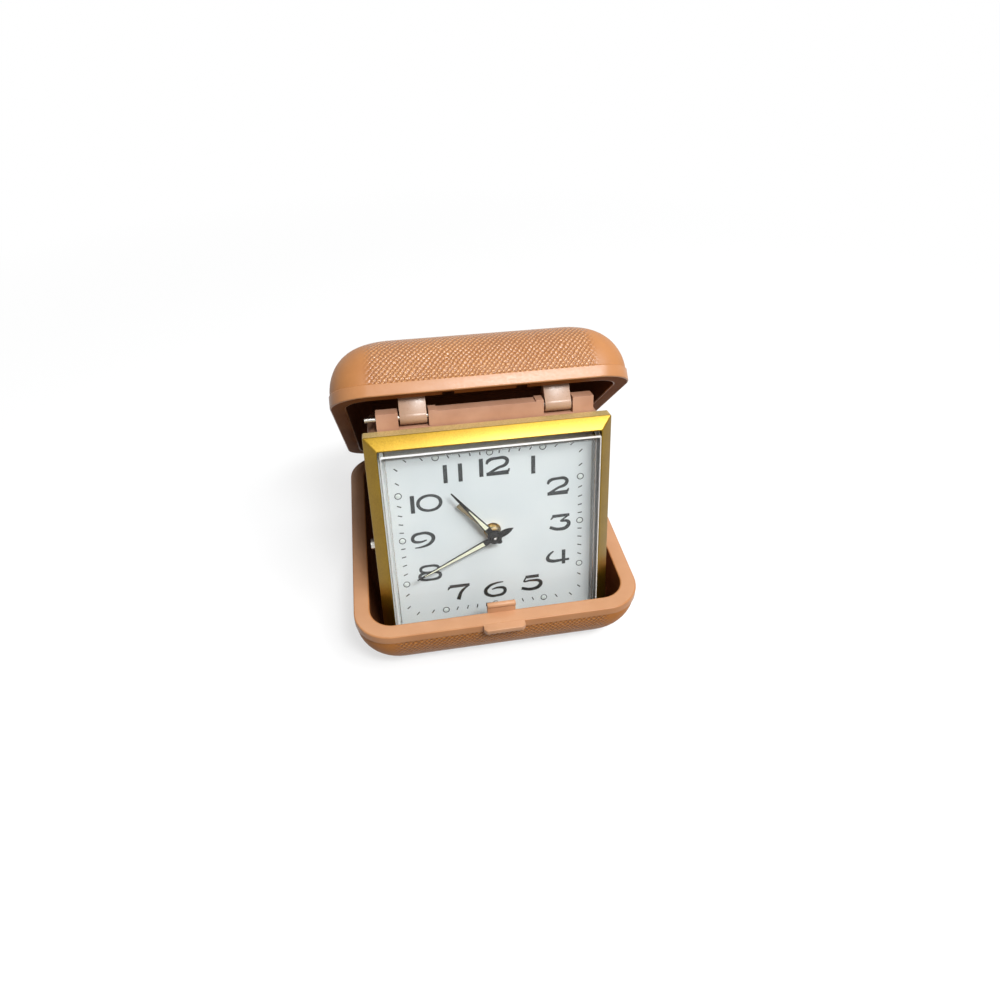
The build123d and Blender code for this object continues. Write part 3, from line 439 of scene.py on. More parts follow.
def add_bar(shape, radius, start, end, y, z, soft, sides=32):
    """Round bar along X with softened ends."""
    made = bmesh.ops.create_cone(shape, cap_ends=True, segments=sides, radius1=radius,
                                 radius2=radius, depth=end - start)
    verts = made["verts"]
    bevelled = bevel(shape, end_rims({e for v in verts for e in v.link_edges}), soft, 2)
    verts = list({v for v in verts if v.is_valid} | set(bevelled["verts"]))
    turn = Matrix.Translation(((start + end) / 2, y, z)) @ Matrix.Rotation(pi / 2, 4, "Y")
    bmesh.ops.transform(shape, matrix=turn, verts=verts)


back_axis = Vector(joints["lid_hinge"]["pos_m"])
barrel, centre_half = 2.0 * mm, 6.0 * mm
knuckle_clear, knuckle_gap, knuckle_soft, cut_over = 0.4 * mm, 0.3 * mm, 0.2 * mm, 1.0 * mm
lid_knuckle, end_knuckle = (6.3 * mm, 13.7 * mm), (14.0 * mm, 22.0 * mm)
front_edge = -case_depth / 2
rim_level = shell_height

base_tray = settle(
    "base_tray", shell_shape(base_rim, base_band, base_round),
    [case_smooth, case_grain, case_inside_painted_shade, case_rim_painted_light], "base",
    Matrix.Translation((0, 0, rim_level)), replaced=("base_shell",),
)
pockets = bmesh.new()
reach = barrel + knuckle_clear
for side in (-1, 1):
    ends = sorted((side * (lid_knuckle[0] - knuckle_gap),
                   side * (lid_knuckle[1] + knuckle_gap)))
    add_block(pockets, (ends[0], back_axis.y - reach, back_axis.z - reach),
              (ends[1], back_axis.y + reach, rim_level + cut_over))
cut_away(base_tray, pockets)

# Knuckles of the back hinge, moulded on the base: three short barrels in line
# with the steel pin, standing half out of the back wall.
knuckles = bmesh.new()
for start, end in ((-end_knuckle[1], -end_knuckle[0]), (-centre_half, centre_half), end_knuckle):
    add_bar(knuckles, barrel, start, end, back_axis.y, back_axis.z, knuckle_soft)
settle("base_knuckles", knuckles, [case_smooth], "base")

# Catch at the front of the base: a springy hook with a rounded bead that snaps
# behind the lid's rim, and the thumb lip moulded on the rim below it.
hook_half, hook_front, hook_back = 3.9 * mm, 4.0 * mm, 5.5 * mm
hook_top, hook_root, hook_soft = 3.3 * mm, 3.6 * mm, 0.15 * mm
bead, bead_stand, bead_soft = 0.8 * mm, 0.3 * mm, 0.12 * mm
lip_root, lip_tip, lip_inside = 5.7 * mm, 4.9 * mm, 1.0 * mm
lip_reach, lip_cut, lip_thick = 2.1 * mm, 0.8 * mm, 1.5 * mm
lip_below, lip_soft = 0.02 * mm, 0.2 * mm


def pull_out(shape, faces, way):
    """Extrudes faces into a solid and moves the new side; returns its vertices."""
    verts = made_of(bmesh.ops.extrude_face_region(shape, geom=faces), BMVert)
    bmesh.ops.translate(shape, vec=way, verts=verts)
    return verts


catch = bmesh.new()
add_block(catch, (-hook_half, front_edge + hook_front, rim_level - hook_root),
          (hook_half, front_edge + hook_back, rim_level + hook_top - bead), hook_soft)
add_bar(catch, bead, -hook_half, hook_half, front_edge + hook_front + bead - bead_stand,
        rim_level + hook_top - bead, bead_soft, 20)
lip = [(-lip_root, lip_inside), (-lip_root, -lip_reach + lip_cut), (-lip_tip, -lip_reach),
       (lip_tip, -lip_reach), (lip_root, -lip_reach + lip_cut), (lip_root, lip_inside)]
lip_foot = rim_level - lip_below - lip_thick
corners = [catch.verts.new((x, front_edge + y, lip_foot)) for x, y in lip]
top = pull_out(catch, [catch.faces.new(corners)], (0, 0, lip_thick))
bevel(catch, {e for v in corners + top for e in v.link_edges
              if min(end.co.y for end in e.verts) < front_edge}, lip_soft, 3)
bmesh.ops.recalc_face_normals(catch, faces=catch.faces)
settle("base_catch", catch, [case_rim_painted_light], "base")

# Lid shell: the upper half of the case, moulded like the base with a slightly
# wider smooth band. It is made closed on the base and swung to its open pose.
lid_band, lid_round, lid_rim = 3.4 * mm, 11.5 * mm, 4.1 * mm
rod_from_edge, rod_below = 7.0 * mm, 4.23 * mm
notch_near, notch_width, notch_rise, notch_skin = 8.0 * mm, 3.2 * mm, 0.8 * mm, 1.3 * mm
# Third colour: painted shade in the grain's creases; fourth: painted highlight on its crests.
lid_grain = grained_plastic("lid_grain", paint(172, 114, 60), paint(158, 100, 50),
                            paint(124, 72, 32), paint(216, 170, 122), 0.24, 0.6)
# Darker copy of the case plastic with little sheen: painted shade on the lid rim's underside.
case_under_painted_shade = smooth_plastic("case_under_painted_shade", paint(138, 84, 38), paint(124, 72, 30),
                            (0.55, 0.65), 0.04)
rod_axis = Vector(joints["clock_hinge"]["pos_m"])
rod_closed = Vector((0, front_edge + rod_from_edge, rim_level - rod_below))
arm_open = rod_axis - back_axis
arm_closed = rod_closed - back_axis
lid_turn = atan2(arm_open.z, arm_open.y) - atan2(arm_closed.z, arm_closed.y)
lid_swing = (Matrix.Translation(back_axis) @ Matrix.Rotation(lid_turn, 4, "X")
             @ Matrix.Translation(-back_axis))
lid_up = lid_swing @ Matrix.Translation((0, 0, rim_level)) @ Matrix.Rotation(pi, 4, "X")
lid_cover = settle(
    "lid_cover", shell_shape(lid_rim, lid_band, lid_round),
    [case_smooth, lid_grain, case_inside_painted_shade, case_under_painted_shade], "lid",
    lid_up, replaced=("lid_shell",),
)
notches = bmesh.new()
for side in (-1, 1):
    ends = sorted((side * notch_near, side * (notch_near + notch_width)))
    add_block(notches, (ends[0], front_edge + notch_skin, rim_level - cut_over),
              (ends[1], front_edge + lid_rim + rim_soft, rim_level + notch_rise))
bmesh.ops.transform(notches, matrix=lid_swing, verts=notches.verts)
cut_away(lid_cover, notches)

# Straps of the lid: two moulded tabs that come down from its front wall and end
# in barrels round the steel rod. The clock hangs and turns on them.
strap_place, strap_width, strap_barrel = 19.0 * mm, 7.0 * mm, 2.0 * mm
strap_reach, strap_soft = 10.0 * mm, 0.15 * mm
strap_in, strap_above = 3.0 * mm, 0.6 * mm
strap_plastic = smooth_plastic("strap_plastic", paint(176, 142, 118), paint(160, 126, 102),
                               (0.24, 0.4))
straps = bmesh.new()
for side in (-1, 1):
    start = side * strap_place - strap_width / 2
    end = start + strap_width
    add_bar(straps, strap_barrel, start, end, rod_closed.y, rod_closed.z, strap_soft, 40)
    add_block(straps, (start, rod_closed.y - strap_barrel, rod_closed.z),
              (end, rod_closed.y + strap_barrel, rim_level + strap_reach), strap_soft)
    add_block(straps, (start, front_edge + strap_in, rim_level + strap_above),
              (end, rod_closed.y, rim_level + strap_reach), strap_soft)
settle("lid_straps", straps, [strap_plastic], "lid", lid_swing)

# Knuckles of the lid at the back: barrels on short webs that drop into the
# pockets of the base when the case is shut.
web_in, web_low, web_high = 1.0 * mm, 1.4 * mm, 1.5 * mm
webs = bmesh.new()
back_face = case_depth / 2
web_top = rim_level + lid_band + web_high
outline = [
    (back_axis.y - barrel, back_axis.z), (back_axis.y - barrel, rim_level + web_low),
    (back_face - web_in, web_top), (back_face - grain_step, web_top),
    (back_axis.y + barrel, rim_level), (back_axis.y + barrel, back_axis.z),
]
for side in (-1, 1):
    start, end = sorted((side * lid_knuckle[0], side * lid_knuckle[1]))
    add_bar(webs, barrel, start, end, back_axis.y, back_axis.z, knuckle_soft)
    side_face = webs.faces.new([webs.verts.new((start, y, z)) for y, z in outline])
    pull_out(webs, [side_face], (end - start, 0, 0))
bmesh.ops.recalc_face_normals(webs, faces=webs.faces)
settle("lid_knuckles", webs, [case_smooth], "lid", lid_swing)

# Rear case of the clock: a box moulded in rosy-brown plastic, with the hinge
# block along its top that holds the rod.
clock_out = Vector(joints["minute_turn"]["axis"]).normalized()
dial_centre = Vector(joints["minute_turn"]["pos_m"])
clock_side = Vector((1, 0, 0))
clock_up = clock_out.cross(clock_side)
clock_place = Matrix.Translation(dial_centre) @ Matrix(
    (clock_side, clock_up, clock_out)).transposed().to_4x4()
rear_plastic = smooth_plastic("rear_plastic", paint(188, 144, 118), paint(168, 122, 96),
                              (0.36, 0.55))
rear_soft, rear_sharp, weld = 0.18 * mm, 24.0, 0.001 * mm
rear = bmesh.new()
rear.from_mesh(nodes["rear_case"].data)
bmesh.ops.remove_doubles(rear, verts=rear.verts, dist=weld)
bmesh.ops.dissolve_limit(rear, angle_limit=radians(0.8), verts=rear.verts, edges=rear.edges)
rear_moulding = settle("rear_case_moulding", rear, [rear_plastic], "clock", sharp=rear_sharp,
                       replaced=("rear_case",))
soft_edges = rear_moulding.modifiers.new("soft_edges", "BEVEL")
soft_edges.width = rear_soft
soft_edges.segments = 2
soft_edges.limit_method = "ANGLE"
soft_edges.angle_limit = radians(rear_sharp)
soft_edges.harden_normals = True
soft_edges.use_clamp_overlap = True

# Steel parts: drawn rod, pins, screws, springs and pressed levers, all bright
# steel with fine drawing marks.
fine_bump = 0.02 * mm


def dress(node, material):
    """Gives a CAD node its material."""
    mesh = nodes[node].data
    mesh.materials.clear()
    mesh.materials.append(material)
    for face in mesh.polygons:
        face.material_index = 0


def metal(name, bright, dark, rough, marks, stretch=(1, 1, 1)):
    """Metal whose drawing marks wander between a bright and a dark tone."""
    material, tree, shader = new_material(name)
    streak = object_noise(tree, marks, 4.0, 0.6, stretch)
    both = math_node(tree, "MULTIPLY", streak, object_noise(tree, 110.0, 3.0))
    share = spread(tree, both, 0.15, 0.35)
    fill(shader, Metallic=1.0, Base_Color=colour_mix(tree, share, dark, bright),
         Roughness=spread(tree, streak, 0.3, 0.7, rough - 0.07, rough + 0.09))
    bump(tree, streak, 0.12, fine_bump, shader)
    return material


steel = metal("bright_steel", paint(222, 220, 214), paint(178, 174, 168), 0.26, 1500.0,
              (0.1, 1, 1))
for node in ("back_hinge_pin", "hinge_rod", "case_screws", "movement_pillars", "time_mainspring",
             "alarm_mainspring", "hairspring", "pallet_lever", "alarm_hammer", "regulator",
             "alarm_set_arbor", "side_studs", "alarm_stop"):
    dress(node, steel)

# Movement brass: plates, wheels, keys and knobs, cut and turned from brass and
# lacquered, with fine tool marks.
movement_brass = metal("movement_brass", paint(226, 190, 108), paint(186, 146, 70), 0.3, 1300.0)
for node in ("front_plate", "back_plate", "centre_arbor", "minute_wheel", "hour_wheel",
             "alarm_wheel", "time_great_wheel", "alarm_great_wheel", "third_wheel", "fourth_wheel",
             "escape_wheel", "alarm_escape_wheel", "balance_wheel", "time_winding_key",
             "alarm_winding_key", "time_set_knob", "alarm_set_knob"):
    dress(node, movement_brass)

# Alarm hand: a slim brass blade on a domed collar, under the other two hands.
# Its brass is dull, and painted darker as painted shade from the hour hand over it.
shaded_dull_brass = metal("shaded_dull_brass", paint(150, 136, 106), paint(114, 102, 76), 0.42, 900.0)
dress("alarm_hand", shaded_dull_brass)

# Bezel: one square frame pressed from brass sheet, satin finished and lacquered,
# with bevels that rise to the window's lip and a flat strip round its outside.
bezel_half, bezel_wall, bezel_back, bezel_rebate = 32.3 * mm, 1.8 * mm, 1.15 * mm, 1.05 * mm
bezel_side_top, bezel_top, bezel_slope, bezel_lip = 2.1 * mm, 4.5 * mm, 2.95 * mm, 0.3 * mm
bezel_corner, bezel_soft = 0.5 * mm, 0.13 * mm
face_slot, side_slot, side_depth = 0, 1, 0.01 * mm


def speckled(name, scale, detail, reach, dark, pale):
    """Material that wanders between two tones; returns it, its tree, shader and speck."""
    material, tree, shader = new_material(name)
    speck = object_noise(tree, scale, detail)
    share = spread(tree, speck, *reach)
    fill(shader, Base_Color=colour_mix(tree, share, dark, pale))
    return material, tree, shader, speck


bezel_brass, brass_tree, brass_shader = new_material("bezel_brass")
brass_speck = object_noise(brass_tree, 3400.0, 2.0)
brass_cloud = object_noise(brass_tree, 160.0, 3.0)
brass_both = math_node(brass_tree, "ADD", math_node(brass_tree, "MULTIPLY", brass_speck, 0.7),
                       math_node(brass_tree, "MULTIPLY", brass_cloud, 0.3))
brass_share = spread(brass_tree, brass_both, 0.35, 0.65)
fill(brass_shader, Metallic=1.0, Coat_Weight=0.4, Coat_Roughness=0.3,
     Base_Color=colour_mix(brass_tree, brass_share, paint(120, 92, 12), paint(144, 114, 26)),
     Roughness=spread(brass_tree, brass_speck, 0.3, 0.7, 0.34, 0.48))
bump(brass_tree, brass_speck, 0.25, 0.03 * mm, brass_shader)
# Outer strip: a paler, less metallic copy of the brass, painted light on top of its rougher finish.
bezel_side_painted_light, side_tree, side_shader, side_speck = speckled(
    "bezel_side_painted_light", 2600.0, 3.0, (0.35, 0.65), paint(182, 156, 100), paint(208, 182, 124))
fill(side_shader, Metallic=0.4, Roughness=0.5)
bump(side_tree, side_speck, 0.2, fine_bump, side_shader)


def soften(corners, soft, parts):
    """Open run of (inset, level) points with each corner between its ends rounded."""
    softened = [corners[0]]
    for before, corner, after in zip(corners, corners[1:], corners[2:]):
        here = Vector(corner)
        first = here + (Vector(before) - here).normalized() * soft
        last = here + (Vector(after) - here).normalized() * soft
        for part in range(parts + 1):
            t = part / parts
            point = (1 - t) ** 2 * first + 2 * t * (1 - t) * here + t * t * last
            softened.append(tuple(point))
    return softened + [corners[-1]]


bezel_window = bezel_slope + bezel_lip
section = ((0, 0), (0, bezel_side_top), (bezel_slope, bezel_top), (bezel_window, bezel_top),
           (bezel_window, bezel_rebate), (bezel_wall, bezel_rebate), (bezel_wall, 0))
section = [(inset, level + bezel_back if level else 0) for inset, level in section]
steps = soften(section, bezel_soft, 3)[1:]
frame_shape = bmesh.new()
frame_shape.verts.layers.float.new("arc")
outer = rounded_loop(frame_shape, 2 * bezel_half, 2 * bezel_half, bezel_corner)
inner, _ = run_profile(frame_shape, outer, steps, 2 * bezel_half, 2 * bezel_half,
                       lambda inset, level: side_slot if inset < side_depth else face_slot)
bmesh.ops.bridge_loops(frame_shape, edges=outer + inner)
bmesh.ops.translate(frame_shape, vec=(0, 0, -bezel_back), verts=frame_shape.verts)
bmesh.ops.recalc_face_normals(frame_shape, faces=frame_shape.faces)
settle("bezel_frame", frame_shape, [bezel_brass, bezel_side_painted_light], "clock", clock_place,
       replaced=("bezel",))

# Crystal: a box moulded in clear plastic with a thick flat front, held by the
# flange round its foot under the bezel. Its walls have gone slightly milky.
# Their tint also darkens to brown towards the right: painted shade.
crystal_half, crystal_flange, flange_thick = 28.9 * mm, 30.3 * mm, 0.9 * mm
crystal_draft, crystal_top, crystal_wall = 0.4 * mm, 6.4 * mm, 1.1 * mm
crystal_edge, crystal_corner, crystal_bend = 0.4 * mm, 0.5 * mm, 1.32
front_slot, wall_slot, edge_slot = 0, 1, 2


def choose_shader(tree, share, first, second):
    """Sends the mix of two shaders to the surface."""
    choose = tree.nodes.new("ShaderNodeMixShader")
    for socket, value in zip(choose.inputs, (share, first, second)):
        give(socket, value)
    fill(tree.nodes["Material Output"], Surface=choose.outputs["Shader"])


def clear_plastic(name, tint, right_shade_tint, rough, clear=1.0, lets_by=0.95):
    """Clear plastic that lets the lamps through, its tint darkening from left to right as painted
    shade.
    """
    material, tree, shader = new_material(name)
    haze = object_noise(tree, 700.0, 4.0)
    place = add_node(tree, "ShaderNodeTexCoord")
    parts = add_node(tree, "ShaderNodeSeparateXYZ", Vector=place.outputs["Object"])
    # Painted shade: the tint moves towards the darker right-hand colour across the crystal.
    across = spread(tree, parts.outputs["X"], -crystal_half, crystal_half)
    across = math_node(tree, "POWER", across, 2.5)
    fill(shader, Transmission_Weight=clear, IOR=crystal_bend,
         Base_Color=colour_mix(tree, across, tint, right_shade_tint),
         Roughness=spread(tree, haze, 0.5, 0.85, *rough))
    path = add_node(tree, "ShaderNodeLightPath")
    unseen = math_node(tree, "MAXIMUM", path.outputs["Is Shadow Ray"],
                       path.outputs["Is Diffuse Ray"])
    open_air = add_node(tree, "ShaderNodeBsdfTransparent", Color=(lets_by, lets_by, lets_by, 1))
    choose_shader(tree, unseen, shader.outputs["BSDF"], open_air.outputs["BSDF"])
    return material


def turned_in(inset, top):
    """Steps up a drafted wall and round its edge to the flat at the top."""
    foot = inset + crystal_draft
    return [(foot, top - crystal_edge)] + [
        (foot + crystal_edge * (1 - cos(t)), top - crystal_edge * (1 - sin(t)))
        for t in quarter(5)]


# Second colour of each: the painted shade at the crystal's right side.
clear_front = clear_plastic("clear_front", (0.98, 0.985, 0.99, 1), (0.97, 0.97, 0.97, 1),
                            (0.005, 0.03))
clear_wall = clear_plastic("clear_wall", (0.9, 0.88, 0.87, 1), (0.5, 0.4, 0.34, 1),
                           (0.1, 0.22), 1.0, 0.8)
clear_edge = clear_plastic("clear_edge", (0.95, 0.95, 0.95, 1), (0.86, 0.8, 0.74, 1),
                           (0.2, 0.3), 0.35, 0.85)
glass = bmesh.new()
glass.verts.layers.float.new("arc")
foot_size = (2 * crystal_flange, 2 * crystal_flange)
hollow_size = (2 * (crystal_half - crystal_wall), 2 * (crystal_half - crystal_wall))
foot = rounded_loop(glass, *foot_size, crystal_corner)
hollow = rounded_loop(glass, *hollow_size, crystal_corner)
bmesh.ops.bridge_loops(glass, edges=foot + hollow)
step_in = crystal_flange - crystal_half
outside = [(0.0, flange_thick), (step_in, flange_thick)] + turned_in(step_in, crystal_top)
last, _ = run_profile(
    glass, foot, outside, *foot_size,
    lambda inset, level: edge_slot if level > crystal_top - crystal_edge else wall_slot)
close_ring(glass, last, front_slot)
under = crystal_top - crystal_wall
last, _ = run_profile(
    glass, hollow, turned_in(0.0, under), *hollow_size,
    lambda inset, level: front_slot if level > under - crystal_edge else wall_slot)
close_ring(glass, last, front_slot)
bmesh.ops.recalc_face_normals(glass, faces=glass.faces)
settle("crystal_box", glass, [clear_front, clear_wall, clear_edge], "clock", clock_place,
       replaced=("crystal",))

# Dial: a square brass plate in silvery white lacquer. Its print is a matt black
# ink that has worn a little thin.
dial_white, dial_tree, dial_shader, _ = speckled(
    "dial_white", 60.0, 3.0, (0.35, 0.65), paint(219, 227, 228), paint(227, 234, 234))
dial_speck = object_noise(dial_tree, 4200.0, 2.0)
fill(dial_shader, Roughness=spread(dial_tree, dial_speck, 0.3, 0.7, 0.42, 0.58))
bump(dial_tree, dial_speck, 0.1, fine_bump, dial_shader)
dress("dial", dial_white)
print_black, print_tree, print_shader, print_wear = speckled(
    "print_black", 2400.0, 4.0, (0.35, 0.75), paint(26, 30, 31), paint(58, 62, 62))
fill(print_shader, Roughness=spread(print_tree, print_wear, 0.3, 0.7, 0.4, 0.6))

# Numerals: plain numbers printed wide and low, drawn as ribbons that swell and
# thin like pen strokes. Each stroke is a list of (across, up, weight).
numeral_half_width, numeral_half_height = 3.05 * mm, 2.55 * mm
one_width, digit_gap, ones_gap, twelve_wide = 0.9 * mm, 1.0 * mm, 3.1 * mm, 1.05
stroke_half = 0.5 * mm
print_lift, print_thick = 0.02 * mm, 0.03 * mm
strokes = {
    "0": [[(0, 0.9, 0.75), (1, 0, 0.95), (0, -0.9, 0.75), (-1, 0, 0.95), "ring"]],
    "1": [[(0, 1.05, 1.1), (0, -1.05, 1.1), "line"]],
    "2": [[(-0.95, 0.35, 0.55), (-0.8, 0.72, 1), (-0.1, 0.93, 0.8), (0.75, 0.72, 1),
           (0.72, 0.22, 1), (0, -0.2, 0.75), (-0.9, -0.82, 0.7), "curve"],
          [(-0.98, -0.84, 1), (0.9, -0.8, 1.3), "line"],
          [(0.84, -0.72, 0.8), (0.97, -0.38, 0.35), "line"]],
    "3": [[(-0.85, 0.42, 0.35), (-0.6, 0.78, 0.7), "line"],
          [(-0.7, 0.8, 1), (0.9, 0.84, 0.85), "line"],
          [(0.85, 0.84, 0.5), (0.05, 0.12, 0.55), "line"],
          [(0.05, 0.14, 0.55), (0.8, -0.05, 1), (0.7, -0.62, 1.15), (-0.1, -0.88, 1),
           (-0.95, -0.55, 0.95), "curve"]],
    "4": [[(-0.4, 0.8, 0.45), (-0.85, 0.3, 0.8), (-0.95, -0.2, 1.1), (-0.55, -0.5, 1.05),
           (0.1, -0.52, 0.9), "curve"],
          [(0, -0.52, 0.9), (1.1, -0.46, 0.7), "line"],
          [(0.56, 0.86, 1.05), (0.56, -1, 1), "line"]],
    "5": [[(-0.55, 0.82, 1), (0.72, 0.84, 1.05), "line"],
          [(-0.5, 0.8, 0.5), (-0.75, 0.2, 0.5), "line"],
          [(-0.72, 0.22, 0.5), (0.1, 0.3, 0.7), (0.85, 0.02, 1.05), (0.8, -0.5, 1.15),
           (0, -0.88, 1), (-0.95, -0.62, 0.95), "curve"]],
    "6": [[(0.75, 0.88, 0.35), (0.1, 0.82, 0.6), (-0.7, 0.4, 0.95), (-0.95, -0.25, 1.1),
           (-0.55, -0.78, 0.95), (0.1, -0.88, 0.8), (0.8, -0.6, 0.95), (0.85, -0.05, 0.95),
           (0.25, 0.18, 0.7), (-0.35, 0.02, 0.4), "curve"]],
    "7": [[(-1.02, 0.42, 0.35), (-0.84, 0.78, 0.8), "line"],
          [(-0.85, 0.84, 1.05), (1.02, 0.84, 0.9), "line"],
          [(0.98, 0.82, 0.5), (0.25, 0.05, 0.85), (-0.1, -1, 1.15), "curve"]],
    "8": [[(0, 0.92, 0.7), (0.82, 0.5, 0.85), (0, 0.06, 0.7), (-0.82, 0.5, 0.85), "ring"],
          [(0, 0.06, 0.7), (0.95, -0.42, 0.95), (0, -0.9, 0.75), (-0.95, -0.42, 0.95), "ring"]],
    "9": [[(-0.75, -0.88, 0.35), (-0.1, -0.82, 0.6), (0.7, -0.4, 0.95), (0.95, 0.25, 1.1),
           (0.55, 0.78, 0.95), (-0.1, 0.88, 0.8), (-0.8, 0.6, 0.95), (-0.85, 0.05, 0.95),
           (-0.25, -0.18, 0.7), (0.35, -0.02, 0.4), "curve"]],
}
hour_marks = {
    "12": (1.15, 19.7), "1": (11.7, 19.0), "2": (18.6, 11.6), "3": (19.1, 0.1), "4": (18.5, -11.3),
    "5": (10.7, -19.1), "6": (0.2, -19.8), "7": (-10.3, -19.2), "8": (-18.1, -11.4),
    "9": (-19.3, -0.5), "10": (-17.7, 10.9), "11": (-10.0, 19.0),
}


def pen_profile():
    """Flat cross-section of the printed ribbon."""
    line = bpy.data.curves.new("pen", "CURVE")
    line.dimensions = "2D"
    spline = line.splines.new("POLY")
    spline.points.add(3)
    for point, (x, y) in zip(spline.points, ((-1, 0), (-1, 1), (1, 1), (1, 0))):
        point.co = (x * stroke_half, y * print_thick, 0, 1)
    spline.use_cyclic_u = True
    return add_object("pen", line)


def write_numerals():
    """All the hours as one printed mesh in the dial's own frame."""
    sheet = bpy.data.curves.new("numerals", "CURVE")
    sheet.dimensions = "3D"
    sheet.twist_mode = "Z_UP"
    sheet.bevel_mode = "OBJECT"
    sheet.use_fill_caps = True
    sheet.resolution_u = 8
    pen = pen_profile()
    sheet.bevel_object = pen
    for hour, (across, up) in hour_marks.items():
        widths = [one_width if digit == "1" else 2 * numeral_half_width for digit in hour]
        gap = ones_gap if hour == "11" else digit_gap
        total = sum(widths) + gap * (len(hour) - 1)
        left = across * mm - total / 2
        for digit, width in zip(hour, widths):
            middle = left + width / 2
            left += width + gap
            wide = twelve_wide if hour == "12" and digit == "2" else 1.0
            for stroke in strokes[digit]:
                kind, points = stroke[-1], stroke[:-1]
                spline = sheet.splines.new("BEZIER")
                spline.bezier_points.add(len(points) - 1)
                for point, (x, y, weight) in zip(spline.bezier_points, points):
                    point.co = (middle + x * numeral_half_width * wide,
                                up * mm + y * numeral_half_height, 0)
                    point.radius = weight
                    handle = "VECTOR" if kind == "line" else "AUTO"
                    point.handle_left_type = handle
                    point.handle_right_type = handle
                spline.use_cyclic_u = kind == "ring"
    holder = add_object("numerals_line", sheet)
    bpy.context.view_layer.update()
    done = holder.evaluated_get(bpy.context.evaluated_depsgraph_get())
    mesh = bpy.data.meshes.new_from_object(done)
    bpy.data.objects.remove(holder)
    bpy.data.objects.remove(pen)
    shape = bmesh.new()
    shape.from_mesh(mesh)
    return shape


numerals = write_numerals()
bmesh.ops.translate(numerals, vec=(0, 0, print_lift), verts=numerals.verts)
settle("dial_numerals", numerals, [print_black], "clock", clock_place)

# Minute track: fine printed ticks round a square, all pointing at the middle,
# and at each hour a thin ring round a spot of white lume.
track_half, track_drop = 24.8 * mm, 0.7 * mm
tick_half, tick_width = 0.6 * mm, 0.15 * mm
ring_radius, ring_line, spot_taper = 0.97 * mm, 0.22 * mm, 0.7


def lume(name, dark, pale):
    """Matt painted lume with a fine dry grain."""
    material, tree, shader, speck = speckled(name, 5000.0, 3.0, (0.3, 0.7), dark, pale)
    fill(shader, Roughness=0.75)
    bump(tree, speck, 0.4, 0.04 * mm, shader)
    return material


lume_white = lume("lume_white", paint(220, 228, 224), paint(230, 237, 232))
ticks = bmesh.new()
spots = bmesh.new()
hole = ring_radius - ring_line
for minute in range(60):
    turn = 2 * pi * minute / 60
    across, up = sin(turn), cos(turn)
    out = track_half / max(abs(across), abs(up))
    down = track_drop * max(0.0, up * out / track_half)
    place = (Matrix.Translation((across * out, up * out - down, print_lift))
             @ Matrix.Rotation(-turn, 4, "Z"))
    if minute % 5:
        made = bmesh.ops.create_cube(ticks, size=1.0)
        size = Matrix.Diagonal((2 * tick_width, 2 * tick_half, print_thick, 1))
        bmesh.ops.transform(ticks, matrix=place @ size, verts=made["verts"])
    else:
        disc = bmesh.ops.create_circle(ticks, cap_ends=False, segments=32, radius=ring_radius)
        edges = list({e for v in disc["verts"] for e in v.link_edges})
        wide = bmesh.ops.extrude_edge_only(ticks, edges=edges)
        inner = made_of(wide, BMVert)
        share = hole / ring_radius
        bmesh.ops.scale(ticks, vec=(share, share, 1), verts=inner)
        high = pull_out(ticks, made_of(wide, BMFace), (0, 0, print_thick))
        bmesh.ops.transform(ticks, matrix=place, verts=disc["verts"] + inner + high)
        spot = bmesh.ops.create_cone(spots, cap_ends=True, segments=28, radius1=hole,
                                     radius2=hole * spot_taper, depth=print_thick * 3)
        bmesh.ops.transform(spots, matrix=place, verts=spot["verts"])
bmesh.ops.recalc_face_normals(ticks, faces=ticks.faces)
settle("minute_track", ticks, [print_black], "clock", clock_place)
settle("hour_spots", spots, [lume_white], "clock", clock_place)

# Hands: black steel blades with a slot filled with cream lume, pressed on their
# pipes. A pointed tail with a ridge stands behind each blade.
hand_black, hand_tree, hand_shader, hand_wear = speckled(
    "hand_black", 1800.0, 3.0, (0.4, 0.75), paint(14, 13, 12), paint(32, 29, 26))
fill(hand_shader, Roughness=0.4, Specular_IOR_Level=0.18)
bump(hand_tree, hand_wear, 0.15, fine_bump, hand_shader)
dress("minute_hand", hand_black)
dress("hour_hand", hand_black)
lume_cream = lume("lume_cream", paint(232, 234, 204), paint(243, 244, 218))
hand_thick, inlay_stand, ridge_level = 0.25 * mm, 0.04 * mm, 0.375 * mm
hands = {
    "minute": (243.9, 3.7 * mm, (3.4, 22.0, 0.6, 0.1),
               ((0.8, -0.8), (0.95, -2.4), (0.9, -3.6), (0.5, -4.8), (0.0, -5.7))),
    "hour": (322.8, 2.9 * mm, (3.3, 11.0, 0.62, 0.1),
             ((0.5, -0.8), (0.72, -2.0), (0.66, -2.6), (0.35, -2.95), (0.0, -3.05))),
}


def hand_place(angle):
    return clock_place @ Matrix.Rotation(-radians(angle), 4, "Z")


